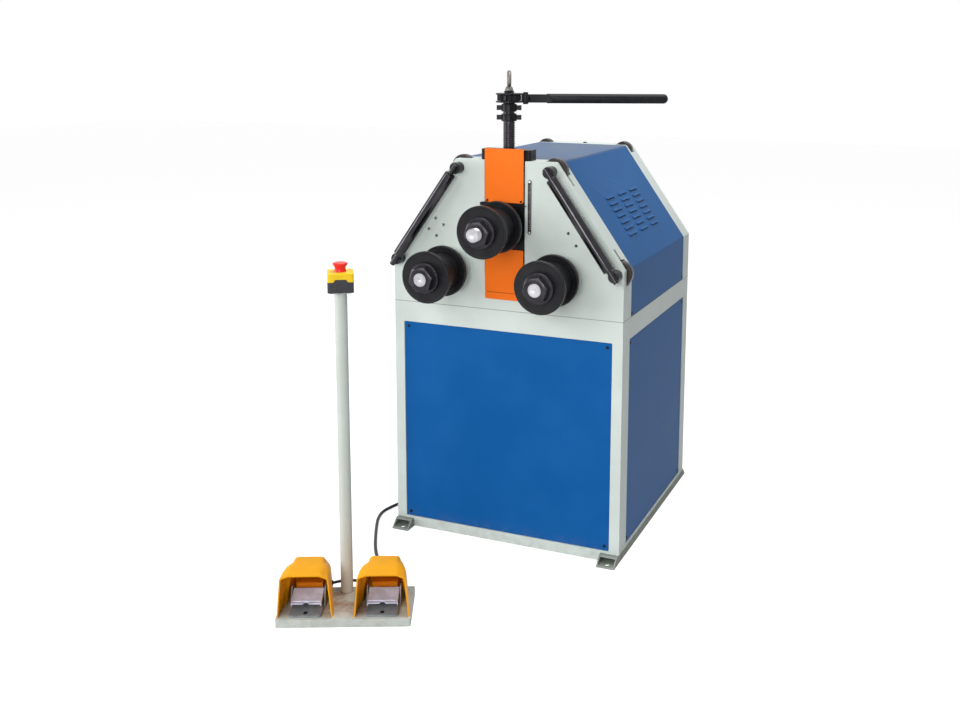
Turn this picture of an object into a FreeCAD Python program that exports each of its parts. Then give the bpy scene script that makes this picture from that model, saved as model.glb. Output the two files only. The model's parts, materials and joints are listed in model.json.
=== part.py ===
import FreeCAD, Part
import math
import os
from FreeCAD import Vector

# Three-roll tube and section bender with its pedal stand.
# Everything is drawn in millimetres from the middle of the front face at floor level:
# +X to the right, +Y to the back, +Z up. The finished solids are then moved so that
# the origin is the centre of the four floor anchor holes.

# Body
body_width = 660.0
body_depth = 656.0
half_width = body_width / 2
seam_z = 654.0
shoulder_z = 785.5
crown_z = 1054.0
crown_half = 141.5
plate_thick = 20.0
front_rim_depth = 66.0
rear_rim_depth = 64.0
rim_thick = 8.0
corner_round = 6.0

# Cabinet
skin = 4.0
window_half = 302.0
window_low = 30.0
window_high = 597.0
side_window_front = 59.0
side_window_back = 610.0
sheet = 2.0
panel_gap = 1.2
panel_recess = 1.5
lip_width = 14.0
lip_thick = 3.0
ledge_width = 60.0
ledge_thick = 6.0

# Screws of the panels, the upper cover and the crosshead
screw_hole = 3.0
screw_inset = 13.5
cover_screw_z = 663.0
cover_screw_rows = (front_rim_depth + 8, body_depth - rear_rim_depth - 8)
crown_screw_x = 64.0
crown_screw_y = 40.0
crown_screw_radius = 4.2

# Cable entries: (y, z) on the left side, (x, z) on the rear, and the height on the stand
cable_entry = (352.0, 44.0)
mains_entry = (-250.0, 60.0)
mains_bore = 4.5
gland_tail = 8.0
port_z = 38.0

# Skids and floor anchors
skid_x = 304.0
skid_width = 50.0
skid_height = 24.0
skid_wall = 4.0
skid_front_low = -38.0
skid_front_high = -12.0
skid_rear_low = 694.0
skid_rear_high = 668.0
anchor_front_y = -20.0
anchor_rear_y = 676.0
anchor_radius = 7.0
anchor_middle_y = (anchor_front_y + anchor_rear_y) / 2

# Rolls and their shafts
roll_x = 157.5
roll_z = 757.5
top_roll_z = 885.4
disc_radius = 68.0
disc_thick = 12.0
core_radius = 50.0
front_disc_y = -148.0
rear_disc_y = -53.0
shaft_radius = 20.0
thread_radius = 17.5
lower_shaft_end = -181.0
top_shaft_end = -199.0
nut_across_flats = 60.0
nut_front_y = -179.0
washer_thick = 10.0
washer_radius = 40.0
running_clearance = 0.05

# Gear train
gear_module = 7.0
gear_teeth = 30
pinion_teeth = 15
gear_front_y = 118.0
gear_width = 40.0
pressure_angle = math.radians(20)
tooth_addendum = 0.85
tooth_dedendum = 1.2
tooth_slack = 0.35

# Bearings, inner bearing plate and drive
bearing_seat = 45.0
rear_bearing_seat = 38.0
bearing_plate_y = 228.0
bearing_plate_thick = 25.0
gearbox_axis_y = 350.0
motor_radius = 72.0

# Slide, guides, crosshead and spindle
slot_half = 57.5
slot_low = 748.0
slide_half = 57.2
slide_low = 809.0
slide_high = 985.0
slide_front_y = 0.5
slide_back_y = 55.0
slide_flange_half = 75.0
guide_outer = 94.0
cover_half = 55.0
cover_front_y = -4.0
cover_thick = 3.0
upper_cover_low = 944.0
upper_cover_high = 1085.0
lower_cover_low = 684.0
lower_cover_high = 820.0
joggle_z = 703.0
crosshead_half = 70.0
crosshead_front_y = 5.0
crosshead_back_y = 50.0
crosshead_high = 1082.0
spindle_y = 28.6
spindle_radius = 16.0
spindle_top = 1203.0
ratchet_high = 1227.0
ratchet_radius = 34.5
stop_nuts_low = (1155.0, 1180.0)
stop_nut_high = 19.0
stop_lug_high = 12.6
stop_nut_turn = 20.0
lever_angle = math.radians(24.4)
lever_length = 415.0
lever_radius = 12.4
lever_z = 1213.5
lever_flat = (38.0, 106.0)
lever_flat_high = 21.4
lever_flat_wide = 14.0
fork_bolt_x = 43.0
fork_bolt_radius = 4.5

# Support rollers and corner rollers
top_pin = (131.5, 1030.0)
low_pin = (310.7, 774.5)
rear_pin = (127.0, 1036.0)
post_radius = 15.5
post_reach = 28.0
axle_y = -31.0
axle_radius = 7.5
support_radius = 14.7
support_gap = 18.6
corner_roller_radius = 33.0
rear_roller_radius = 27.5
corner_roller_width = 21.4
slot_gap = 2.5
slot_width = 32.0
slot_run = 52.0
slot_run_width = 12.0
pin_radius = 10.0

# Depth scale and tapped accessory holes
scale_x = (66.3, 76.0)
scale_z = (863.0, 1006.0)
tapped_radius = 4.25
accessory_holes = [(202.0, 890.0), (178.5, 873.5), (223.0, 859.5), (200.0, 842.5)]

# Louvres on the slopes of the upper cover
louvre_length = 66.0
louvre_height = 9.0
louvre_lift = 4.2
louvre_columns = (213.0, 317.0, 421.0)
louvre_rows = 7
louvre_first = 75.0
louvre_pitch = 19.2

# Pedal stand, drawn square to itself and then turned and set beside the machine
stand_turn = 24.4
stand_at = Vector(-166.2, -559.2, 0)
stand_half = 158.0
stand_depth = 159.0
stand_height = 20.0
stand_sheet = 3.0
pole_at = (-7.0, 138.0)
pole_radius = 15.0
pole_top = 776.0
pedal_x = 90.0
treadle_half = 36.0
treadle_pin = (82.0, 52.0)
hood_wall = 3.0
box_half = 30.5
box_middle_y = 130.0
box_low = 777.6
box_split = 803.0
box_high = 823.6
box_turn = 8.3
boss_half = 16.5
boss_high = 809.3
button_bore = 14.3

# Cables
cable_radius = 4.5
link_cable_radius = 3.5
cable_route = [(-352.5, 352, 44), (-390, 352, 44), (-423, 331, 33), (-438, 292, 18),
               (-428, 252, 6.5), (-408, 212, 4.7), (-389, 168, 4.7), (-386, 124, 4.7),
               (-398, 84, 4.7), (-406, 42, 4.7), (-394, -5, 4.7), (-368, -58, 4.7),
               (-336, -118, 4.7), (-304, -174, 4.7), (-269, -224, 4.7), (-231, -263, 8),
               (-195, -297, 24), (-168.9, -335.3, 38), (-154.5, -367.2, 38)]
link_route = [(-46, 144.4, 38), (-33, 151.3, 38), (-20.5, 157, 37.5), (-7, 160.5, 37),
              (7, 159.5, 37), (20.5, 156, 37.5), (33, 151.3, 38), (46, 144.4, 38)]
link_port_turn = 28.0

# Hood sections from mouth to tail: y, half widths at foot, side and roof, heights of side and roof
hood_stations = [(8, 65.5, 56.5, 37.5, 118.5, 125.5), (46, 64, 55.5, 38, 119, 127.5),
                 (67, 60, 49.5, 36, 119, 127.5), (83, 56, 36, 30, 118.5, 127.5),
                 (105, 50, 34, 29, 117, 126.5), (150, 46, 41, 27, 84, 98)]


# Small shape helpers

def box(x0, x1, y0, y1, z0, z1):
    return Part.makeBox(x1 - x0, y1 - y0, z1 - z0, Vector(x0, y0, z0))


def rod_x(y, z, radius, x0, x1):
    return Part.makeCylinder(radius, x1 - x0, Vector(x0, y, z), Vector(1, 0, 0))


def rod_y(x, z, radius, y0, y1):
    return Part.makeCylinder(radius, y1 - y0, Vector(x, y0, z), Vector(0, 1, 0))


def rod_z(x, y, radius, z0, z1):
    return Part.makeCylinder(radius, z1 - z0, Vector(x, y, z0), Vector(0, 0, 1))


def rod_between(a, b, radius):
    return Part.makeCylinder(radius, (b - a).Length, a, b - a)


def prism_y(points, y0, y1):
    # Outline of (x, z) points carried along Y
    corners = [Vector(x, y0, z) for x, z in points]
    face = Part.Face(Part.makePolygon(corners + corners[:1]))
    return face.extrude(Vector(0, y1 - y0, 0))


def prism_z(points, z0, z1):
    # Outline of (x, y) points carried along Z
    corners = [Vector(x, y, z0) for x, y in points]
    face = Part.Face(Part.makePolygon(corners + corners[:1]))
    return face.extrude(Vector(0, 0, z1 - z0))


def prism_x(points, x0, x1):
    # Outline of (y, z) points carried along X
    corners = [Vector(x0, y, z) for y, z in points]
    face = Part.Face(Part.makePolygon(corners + corners[:1]))
    return face.extrude(Vector(x1 - x0, 0, 0))


def turned_y(profile, x, z):
    # Profile of (y, radius) points turned about a Y axis at (x, z)
    corners = [Vector(x + r, y, z) for y, r in profile]
    face = Part.Face(Part.makePolygon(corners + corners[:1]))
    return face.revolve(Vector(x, 0, z), Vector(0, 1, 0), 360)


def turned_z(profile, x, y):
    # Profile of (z, radius) points turned about a Z axis at (x, y)
    corners = [Vector(x + r, y, z) for z, r in profile]
    face = Part.Face(Part.makePolygon(corners + corners[:1]))
    return face.revolve(Vector(x, y, 0), Vector(0, 0, 1), 360)


def fuse(shapes):
    body = shapes[0]
    if len(shapes) > 1:
        body = body.fuse(shapes[1:])
    return body.removeSplitter()


def mirror_x(shape):
    return shape.mirror(Vector(0, 0, 0), Vector(1, 0, 0))


def both_sides(shape):
    return [mirror_x(shape), shape]


def round_edges(shape, radius, wanted):
    edges = [edge for edge in shape.Edges if wanted(edge)]
    return shape.makeFillet(radius, edges)


def runs_along(edge, axis):
    ends = [vertex.Point for vertex in edge.Vertexes]
    if len(ends) != 2:
        return False
    step = (ends[1] - ends[0]).normalize()
    return abs(abs(step.dot(axis)) - 1) < 1e-6


def hexagon(flats, x, z, turn=0.0):
    reach = flats / 2 / math.cos(math.radians(30))
    angles = [math.radians(60 * i + turn) for i in range(6)]
    return [(x + reach * math.cos(a), z + reach * math.sin(a)) for a in angles]


def tube_path(route):
    # Straight runs joined by tangent arcs, each arc as large as its two runs allow
    points = [Vector(*p) for p in route]
    edges = []
    radii = []
    here = points[0]
    for before, corner, after in zip(points, points[1:], points[2:]):
        back = (before - corner).normalize()
        ahead = (after - corner).normalize()
        turn = math.pi - back.getAngle(ahead)
        reach = 0.45 * min((before - corner).Length, (after - corner).Length)
        radii.append(reach / math.tan(turn / 2))
        first = corner + back * reach
        last = corner + ahead * reach
        middle = (back + ahead).normalize()
        centre = corner + middle * math.hypot(reach, radii[-1])
        edges.append(Part.LineSegment(here, first).toShape())
        edges.append(Part.Arc(first, centre - middle * radii[-1], last).toShape())
        here = last
    edges.append(Part.LineSegment(here, points[-1]).toShape())
    return Part.Wire(edges), radii


def tube(route, radius, name):
    path, radii = tube_path(route)
    start = Vector(*route[0])
    section = Part.Wire(Part.makeCircle(radius, start, Vector(*route[1]) - start))
    solid = path.makePipeShell([section], True, False)
    ratio = solid.Volume / (math.pi * radius ** 2 * path.Length)
    print(name, "length", round(path.Length, 1), "least radius", round(min(radii), 1),
          "volume against section times length", round(ratio, 4))
    return solid


def head_outline(inset, low):
    # Six-sided outline of the head, moved inwards by the inset
    slope_x = crown_half - half_width
    slope_z = crown_z - shoulder_z
    slope = math.hypot(slope_x, slope_z)
    across, up = slope_z / slope, -slope_x / slope
    shoulder = shoulder_z - inset * (1 - across) / up
    crown = crown_half - inset * (1 - up) / across
    side = half_width - inset
    return [(-side, low), (side, low), (side, shoulder), (crown, crown_z - inset),
            (-crown, crown_z - inset), (-side, shoulder)]


nodes = {}


def keep(name, *solids):
    nodes[name] = list(solids)


# Cabinet: a folded sheet frame with a window in each side, lips behind the windows
# for the panels, and ledges that carry the heads and the skids.

def window_lips():
    inner = window_half - lip_width
    outer = window_half + skin
    low, high = window_low - skin, window_high + skin
    front = box(-outer, outer, panel_recess + sheet, panel_recess + sheet + lip_thick, low, high)
    front = front.cut(box(-inner, inner, -1, 20, window_low + lip_width, window_high - lip_width))
    rear = front.mirror(Vector(0, body_depth / 2, 0), Vector(0, 1, 0))
    x1 = half_width - panel_recess - sheet
    side = box(x1 - lip_thick, x1, side_window_front - skin, side_window_back + skin,
               window_low - 1, high)
    side = side.cut(box(x1 - 20, x1 + 20, side_window_front + lip_width,
                        side_window_back - lip_width, window_low + lip_width,
                        window_high - lip_width))
    return [front, rear] + both_sides(side)


def make_cabinet():
    shell = box(-half_width, half_width, 0, body_depth, skid_height, seam_z)
    shell = shell.cut(box(-half_width + skin, half_width - skin, skin, body_depth - skin, 0, seam_z))
    shell = shell.cut(box(-window_half, window_half, -1, body_depth + 1, window_low, window_high))
    shell = shell.cut(box(-half_width - 1, half_width + 1, side_window_front, side_window_back,
                          window_low + 2, window_high))
    inner_skid = skid_x - skid_width / 2 - 0.5
    rails = [box(-inner_skid, inner_skid, y, y + skin, 2, window_low)
             for y in (0, body_depth - skin)]
    feet = both_sides(box(skid_x - skid_width / 2, half_width - 1, 0, body_depth,
                          skid_height, skid_height + skin))
    ledge = box(-half_width + 1, half_width - 1, 1, body_depth - 1, seam_z - ledge_thick, seam_z)
    ledge = ledge.cut(box(-half_width + ledge_width / 2, half_width - ledge_width / 2,
                          ledge_width, body_depth - ledge_width, seam_z - 20, seam_z + 1))
    beam = box(-half_width + 2, half_width - 2, bearing_plate_y - 6, bearing_plate_y + 34,
               seam_z - 50, seam_z)
    beam = beam.cut(box(-half_width, half_width, bearing_plate_y, bearing_plate_y + 28,
                        seam_z - 60, seam_z - 6))
    frame = fuse([shell, ledge, beam] + rails + feet + window_lips())
    holes = [rod_y(x, z, screw_hole, -1, body_depth + 1) for x, z in panel_screws_at()]
    holes += [rod_x(y, z, screw_hole, -half_width - 1, half_width + 1) for y, z in side_screws_at()]
    holes.append(rod_x(*cable_entry, gland_tail, -half_width - 1, -half_width + 20))
    return frame.cut(holes)


def make_skid():
    side = [(skid_front_low, 0), (skid_rear_low, 0), (skid_rear_high, skid_height),
            (skid_front_high, skid_height)]
    x0 = skid_x - skid_width / 2
    x1 = skid_x + skid_width / 2
    skid = prism_x(side, x0, x1)
    skid = skid.cut(box(x0 + skid_wall, x1 - skid_wall, -60, 720, skid_wall,
                        skid_height - skid_wall))
    for y in (anchor_front_y, anchor_rear_y):
        skid = skid.cut(rod_z(skid_x, y, anchor_radius, -1, skid_height / 2))
    return skid


# Panels: flat sheets with rounded corners that lie in the windows on the lips

def panel_screws_at():
    return [(x, z) for x in (-window_half + screw_inset, window_half - screw_inset)
            for z in (window_low + screw_inset, window_high - screw_inset)]


def side_screws_at():
    return [(y, z) for y in (side_window_front + screw_inset, side_window_back - screw_inset)
            for z in (window_low + screw_inset, window_high - screw_inset)]


def make_end_panel(y0):
    edge = window_half - panel_gap
    panel = box(-edge, edge, y0, y0 + sheet, window_low + panel_gap, window_high - panel_gap)
    panel = round_edges(panel, 3, lambda e: runs_along(e, Vector(0, 1, 0)))
    return panel.cut([rod_y(x, z, screw_hole, y0 - 1, y0 + sheet + 1) for x, z in panel_screws_at()])


def make_side_panel():
    x1 = half_width - panel_recess
    panel = box(x1 - sheet, x1, side_window_front + panel_gap, side_window_back - panel_gap,
                window_low + 2 + panel_gap, window_high - panel_gap)
    panel = round_edges(panel, 3, lambda e: runs_along(e, Vector(1, 0, 0)))
    return panel.cut([rod_x(y, z, screw_hole, x1 - 10, x1 + 10) for y, z in side_screws_at()])


def button_screw(at, outward):
    # Low round head with a hexagon socket, and a shank behind it
    head = Part.makeCylinder(5.0, 1.8, at, outward)
    shank = Part.makeCylinder(2.9, 11.0, at - outward * 11.0, outward)
    return fuse([head, shank])


def make_panel_screws():
    screws = []
    for x, z in panel_screws_at():
        screws.append(button_screw(Vector(x, panel_recess, z), Vector(0, -1, 0)))
        screws.append(button_screw(Vector(x, body_depth - panel_recess, z), Vector(0, 1, 0)))
    for y, z in side_screws_at():
        for side in (-1, 1):
            screws.append(button_screw(Vector(side * (half_width - panel_recess), y, z),
                                       Vector(side, 0, 0)))
    for y in cover_screw_rows:
        for side in (-1, 1):
            screws.append(button_screw(Vector(side * half_width, y, cover_screw_z),
                                       Vector(side, 0, 0)))
    return screws


# Heads: a thick plate with a welded rim, open behind

def roller_slot(at, radius, y0, y1):
    # Round slot in the rim that lets a corner roller stand proud
    return rod_y(at[0], at[1], radius + slot_gap, y0, y1)


def slit_beside(at, other, y0):
    # Narrow slit that runs on from a roller slot along the slope, behind the front plate
    along = Vector(other[0] - at[0], 0, other[1] - at[1]).normalize()
    outward = Vector(abs(along.z), 0, abs(along.x))
    pin = Vector(at[0], 0, at[1])
    end = pin + along * slot_run + outward * 18
    corners = [pin + outward * 9, pin + outward * 40, end + outward * 20, end - outward * 9]
    strip = prism_y([(c.x, c.z) for c in corners], y0, y0 + slot_run_width)
    return strip.fuse(rod_y(end.x, end.z, 9, y0, y0 + slot_run_width))


def make_head(y0, y1, rim_y0, rim_y1, slots):
    # A block from y0 to y1, hollowed between rim_y0 and rim_y1 so that a plate and a rim stay
    head = prism_y(head_outline(0, seam_z), y0, y1)
    head = round_edges(head, corner_round, lambda e: runs_along(e, Vector(0, 1, 0))
                       and e.CenterOfMass.z > seam_z + 1)
    cutters = [prism_y(head_outline(rim_thick, seam_z - 1), rim_y0, rim_y1)]
    for slot in slots:
        cutters += both_sides(slot)
    return head.cut(cutters)


def cover_lip(y0, y1):
    # Narrow ring inside the rim that the upper cover lies on
    lip = prism_y(head_outline(sheet + 1.2, seam_z), y0, y1)
    return lip.cut(prism_y(head_outline(sheet + 1.2 + lip_thick, seam_z - 1), y0 - 1, y1 + 1))


def make_front_head():
    slots = [roller_slot(at, corner_roller_radius, plate_thick, plate_thick + slot_width)
             for at in (top_pin, low_pin)]
    slots += [slit_beside(top_pin, low_pin, plate_thick), slit_beside(low_pin, top_pin, plate_thick)]
    head = make_head(0, front_rim_depth, plate_thick, front_rim_depth, slots)
    head = fuse([head, cover_lip(front_rim_depth - rim_thick, front_rim_depth + 14)])
    cutters = [box(-slot_half, slot_half, -1, front_rim_depth + 20, slot_low, crown_z + 1),
               rod_x(cover_screw_rows[0], cover_screw_z, screw_hole, -half_width - 1, half_width + 1)]
    for side in (-1, 1):
        cutters.append(rod_y(side * roll_x, roll_z, bearing_seat, -1, plate_thick + 1))
        cutters.append(rod_z(side * crown_screw_x, crown_screw_y, crown_screw_radius,
                             crown_z - 2 * rim_thick, crown_z + 1))
        for x, z in (top_pin, low_pin):
            cutters.append(rod_y(side * x, z, pin_radius, -1, plate_thick + 1))
        for x, z in accessory_holes:
            cutters.append(rod_y(side * x, z, tapped_radius, -1, plate_thick + 1))
    return head.cut(cutters)


def make_rear_head():
    plate_y = body_depth - plate_thick
    rim_y = body_depth - rear_rim_depth
    slots = [roller_slot(rear_pin, rear_roller_radius, plate_y - slot_width, plate_y)]
    head = make_head(rim_y, body_depth, rim_y, plate_y, slots)
    head = fuse([head, cover_lip(rim_y - 14, rim_y + rim_thick)])
    cutters = [rod_x(cover_screw_rows[1], cover_screw_z, screw_hole, -half_width - 1, half_width + 1)]
    for side in (-1, 1):
        cutters.append(rod_y(side * rear_pin[0], rear_pin[1], pin_radius, plate_y - 1, body_depth + 1))
    return head.cut(cutters)


# Upper cover: one sheet folded over the slopes and the crown, louvred on both slopes


def louvre(y, along):
    # Half-round scoop pressed out of the right slope, open on its lower side
    slope_x = crown_half - half_width
    slope_z = crown_z - shoulder_z
    slope = math.hypot(slope_x, slope_z)
    up = Vector(slope_x / slope, 0, slope_z / slope)
    out = Vector(up.z, 0, -up.x)
    foot = Vector(half_width, y - louvre_length / 2, shoulder_z) + up * along
    profile = [foot, foot + out * louvre_lift, foot + out * (louvre_lift - 1) + up * 2,
               foot + up * louvre_height, foot]
    scoop = Part.Face(Part.makePolygon(profile)).extrude(Vector(0, louvre_length, 0))
    inner = [foot - up - out * 4, foot - up + out * (louvre_lift - 1.2),
             foot + out * (louvre_lift - 1.6), foot + up * (louvre_height - 2.6),
             foot + up * (louvre_height - 2.6) - out * 4, foot - up - out * 4]
    hollow = Part.Face(Part.makePolygon(inner)).extrude(Vector(0, louvre_length - 2.4, 0))
    hollow.translate(Vector(0, 1.2, 0))
    return scoop, hollow


def make_upper_cover():
    y0 = front_rim_depth + 0.5
    y1 = body_depth - rear_rim_depth - 0.5

    def fold(edge):
        return runs_along(edge, Vector(0, 1, 0)) and edge.CenterOfMass.z > seam_z + 2

    cover = round_edges(prism_y(head_outline(0, seam_z + 1), y0, y1), corner_round, fold)
    inner = prism_y(head_outline(sheet, seam_z), y0 - 1, y1 + 1)
    cover = cover.cut(round_edges(inner, corner_round - sheet, fold))
    scoops = []
    hollows = []
    for y in louvre_columns:
        for row in range(louvre_rows):
            scoop, hollow = louvre(y, louvre_first + row * louvre_pitch)
            scoops += both_sides(scoop)
            hollows += both_sides(hollow)
    cover = cover.fuse(scoops).cut(hollows).removeSplitter()
    return cover.cut([rod_x(y, cover_screw_z, screw_hole, -half_width - 1, half_width + 1)
                      for y in cover_screw_rows])


# Roll sets: a shaft, a core between two flange discs, a nut and a thick washer

def make_disc(y0, x, z):
    # Flange disc with a turned land round its rim
    y1 = y0 + disc_thick
    profile = [(y0 + 0.8, shaft_radius), (y0 + 0.8, disc_radius - 6), (y0, disc_radius - 5),
               (y0, disc_radius - 1.5), (y0 + 1.5, disc_radius), (y1 - 1.5, disc_radius),
               (y1, disc_radius - 1.5), (y1, shaft_radius)]
    return turned_y(profile, x, z)


def make_core(x, z):
    y0 = front_disc_y + disc_thick
    profile = [(y0, shaft_radius), (y0, core_radius), (rear_disc_y, core_radius),
               (rear_disc_y, shaft_radius)]
    return turned_y(profile, x, z)


def make_nut(x, z):
    seat = front_disc_y + 0.8
    washer_front = seat - washer_thick
    washer = turned_y([(washer_front, thread_radius), (washer_front, washer_radius - 2),
                       (washer_front + 2, washer_radius), (seat, washer_radius),
                       (seat, thread_radius)], x, z)
    nut = prism_y(hexagon(nut_across_flats, x, z, 12), nut_front_y, washer_front)
    corner = nut_across_flats / 2 / math.cos(math.radians(30))
    dome = turned_y([(nut_front_y, 1), (nut_front_y, nut_across_flats / 2 - 1),
                     (nut_front_y + 3, corner + 1), (washer_front, corner + 1),
                     (washer_front, 1)], x, z)
    nut = nut.common(dome).cut(rod_y(x, z, thread_radius, nut_front_y - 1, washer_front + 1))
    return [nut, washer]


def shaft_profile(end_y, steps):
    return [(end_y, 0), (end_y, thread_radius - 2), (end_y + 2, thread_radius),
            (front_disc_y + 0.8, thread_radius), (front_disc_y + 0.8, shaft_radius),
            (rear_disc_y + disc_thick, shaft_radius)] + steps


def make_lower_shaft(x):
    back = bearing_plate_y + bearing_plate_thick + 8
    collar = rear_disc_y + disc_thick
    steps = [(collar, 30), (-14.3, 30), (-14.3, shaft_radius), (gear_front_y - 12, shaft_radius),
             (gear_front_y - 12, 28), (gear_front_y, 28), (gear_front_y, 22),
             (gear_front_y + gear_width, 22), (gear_front_y + gear_width, shaft_radius),
             (back, shaft_radius), (back, 0)]
    return turned_y(shaft_profile(lower_shaft_end, steps), x, roll_z)


def make_top_shaft():
    collar = rear_disc_y + disc_thick
    steps = [(collar, 30), (-12.3, 30), (-12.3, shaft_radius), (slide_back_y + 0.3, shaft_radius),
             (slide_back_y + 0.3, 27), (slide_back_y + 12, 27), (slide_back_y + 12, 0)]
    return turned_y(shaft_profile(top_shaft_end, steps), 0, top_roll_z)


# Gears with involute teeth and a little backlash

def gear_outline(teeth, x, z, turn):
    # Root arc, involute flank, tip arc, involute flank, for each tooth in turn
    pitch = gear_module * teeth / 2
    base = pitch * math.cos(pressure_angle)
    tip = pitch + tooth_addendum * gear_module
    root = pitch - tooth_dedendum * gear_module
    half_tooth = math.pi / 2 / teeth - tooth_slack / 2 / pitch
    half_tooth += math.tan(pressure_angle) - pressure_angle

    def flank_point(radius, side, middle):
        roll = math.sqrt(max((radius / base) ** 2 - 1, 0))
        angle = middle + side * (half_tooth - (roll - math.atan(roll)))
        return Vector(x + radius * math.cos(angle), 0, z + radius * math.sin(angle))

    start = max(base, root + 0.4)
    radii = [start + (tip - start) * i / 4 for i in range(5)]
    edges = []
    first = last = None
    for k in range(teeth):
        middle = turn + 2 * math.pi * k / teeth
        rise = [flank_point(r, -1, middle) for r in radii]
        fall = [flank_point(r, 1, middle) for r in reversed(radii)]
        floor_in = (rise[0] - Vector(x, 0, z)).normalize() * root + Vector(x, 0, z)
        floor_out = (fall[-1] - Vector(x, 0, z)).normalize() * root + Vector(x, 0, z)
        if last is not None:
            edges.append(Part.LineSegment(last, floor_in).toShape())
        first = first or floor_in
        chain = [floor_in] + rise + fall + [floor_out]
        edges += [Part.LineSegment(a, b).toShape() for a, b in zip(chain, chain[1:])]
        last = floor_out
    edges.append(Part.LineSegment(last, first).toShape())
    return Part.Wire(edges)


def make_gear(teeth, x, z, turn, y0, width, bore):
    face = Part.Face(gear_outline(teeth, x, z, turn))
    gear = face.extrude(Vector(0, width, 0))
    gear.translate(Vector(0, y0, 0))
    return gear.cut(rod_y(x, z, bore, y0 - 1, y0 + width + 1))


def make_drive_gear(x):
    # A gap of each large gear faces the pinion tooth that it meshes with
    toward_pinion = 0.0 if x < 0 else math.pi
    gap = toward_pinion + (math.pi / gear_teeth if x < 0 else 0.0)
    gear = make_gear(gear_teeth, x, roll_z, gap, gear_front_y, gear_width, 22)
    recess = turned_y([(gear_front_y - 1, 42), (gear_front_y - 1, 80), (gear_front_y + 9, 80),
                       (gear_front_y + 9, 42)], x, roll_z)
    back = gear_front_y + gear_width
    recess_back = turned_y([(back - 9, 42), (back - 9, 80), (back + 1, 80), (back + 1, 42)], x, roll_z)
    return gear.cut([recess, recess_back])


def make_pinion():
    teeth = make_gear(pinion_teeth, 0, roll_z, math.pi, gear_front_y - 2, gear_width + 4, 10)
    back = gearbox_axis_y + 85
    shaft = turned_y([(gear_front_y - 2, 0), (gear_front_y - 2, 12), (gear_front_y + gear_width + 2, 12),
                      (gear_front_y + gear_width + 2, 24), (bearing_plate_y - 2, 24),
                      (bearing_plate_y - 2, 17.5), (back, 17.5), (back, 0)], 0, roll_z)
    return fuse([teeth, shaft])


# Bearings, inner bearing plate, spacer bars, gearbox and motor

def make_shaft_bearings():
    bearings = []
    for x in (-roll_x, roll_x):
        bore = shaft_radius + running_clearance
        inner_end = plate_thick + 30
        front = turned_y([(-14, bore), (-14, 50), (-11, 58), (0, 58), (0, bearing_seat),
                          (inner_end, bearing_seat), (inner_end, bore)], x, roll_z)
        back = bearing_plate_y + bearing_plate_thick
        rear = turned_y([(bearing_plate_y - 8, bore), (bearing_plate_y - 8, 52), (bearing_plate_y, 52),
                         (bearing_plate_y, rear_bearing_seat), (back, rear_bearing_seat),
                         (back, bore)], x, roll_z)
        bearings += [front, rear]
    return bearings


def make_bearing_plate():
    y0 = bearing_plate_y
    y1 = y0 + bearing_plate_thick
    outline = [(-300, seam_z), (300, seam_z), (300, 790), (210, 900), (-210, 900), (-300, 790)]
    plate = prism_y(outline, y0, y1)
    plate = plate.cut([rod_y(-roll_x, roll_z, rear_bearing_seat, y0 - 1, y1 + 1),
                       rod_y(roll_x, roll_z, rear_bearing_seat, y0 - 1, y1 + 1),
                       rod_y(0, roll_z, 30, y0 - 1, y1 + 1)])
    bars = [rod_y(side * x, z, 12.5, plate_thick, y0) for side in (-1, 1)
            for x, z in ((292, 692), (117, 876))]
    return [plate] + bars


def make_gearbox():
    y0 = bearing_plate_y + bearing_plate_thick
    y1 = gearbox_axis_y + 80
    housing = box(-78, 78, y0 + 15, y1, roll_z - 92, roll_z + 88)
    housing = round_edges(housing, 14, lambda e: runs_along(e, Vector(0, 1, 0)))
    flange = rod_y(0, roll_z, 85, y0, y0 + 16)
    output = rod_y(0, roll_z, 55, y1 - 1, y1 + 6)
    foot = rod_z(0, gearbox_axis_y, 82, roll_z - 106, roll_z - 90)
    gearbox = fuse([housing, flange, output, foot])
    return gearbox.cut(rod_y(0, roll_z, 17.5 + running_clearance, y0 - 1, y1 + 20))


def make_motor():
    top = roll_z - 106
    ribs = []
    for i in range(20):
        rib = box(motor_radius - 6, motor_radius + 6, -1.5, 1.5, top - 205, top - 40)
        rib.rotate(Vector(0, 0, 0), Vector(0, 0, 1), i * 18)
        rib.translate(Vector(0, gearbox_axis_y, 0))
        ribs.append(rib)
    body = turned_z([(top, 0), (top, 80), (top - 14, 80), (top - 30, motor_radius),
                     (top - 210, motor_radius), (top - 214, motor_radius + 7), (top - 262, motor_radius + 7),
                     (top - 270, motor_radius - 4), (top - 270, 0)], 0, gearbox_axis_y)
    terminals = box(-45, 45, gearbox_axis_y + motor_radius - 8, gearbox_axis_y + motor_radius + 38,
                    top - 150, top - 60)
    return fuse([body, terminals] + ribs)


# Slide, its guides and covers, the crosshead and the pointer

def make_slide():
    front = box(-slide_half, slide_half, slide_front_y, slide_back_y, slide_low, slide_high)
    flange = box(-slide_flange_half, slide_flange_half, plate_thick + 0.3, slide_back_y,
                 slide_low + 2, slide_high - 5)
    boss = turned_y([(-12, 1), (-12, 44), (-9, 47), (slide_front_y + 1, 47), (slide_front_y + 1, 1)],
                    0, top_roll_z)
    slide = fuse([front, flange, boss])
    bore = rod_y(0, top_roll_z, shaft_radius + running_clearance, -20, slide_back_y + 1)
    neck = box(-12.4, 12.4, spindle_y, slide_back_y + 1, slide_high - 21, slide_high + 1)
    neck = neck.fuse(rod_z(0, spindle_y, 12.4, slide_high - 21, slide_high + 1))
    pocket = box(-20.6, 20.6, spindle_y, slide_back_y + 1, slide_high - 35, slide_high - 20)
    pocket = pocket.fuse(rod_z(0, spindle_y, 20.6, slide_high - 35, slide_high - 20))
    return slide.cut([bore, neck, pocket])


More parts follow.
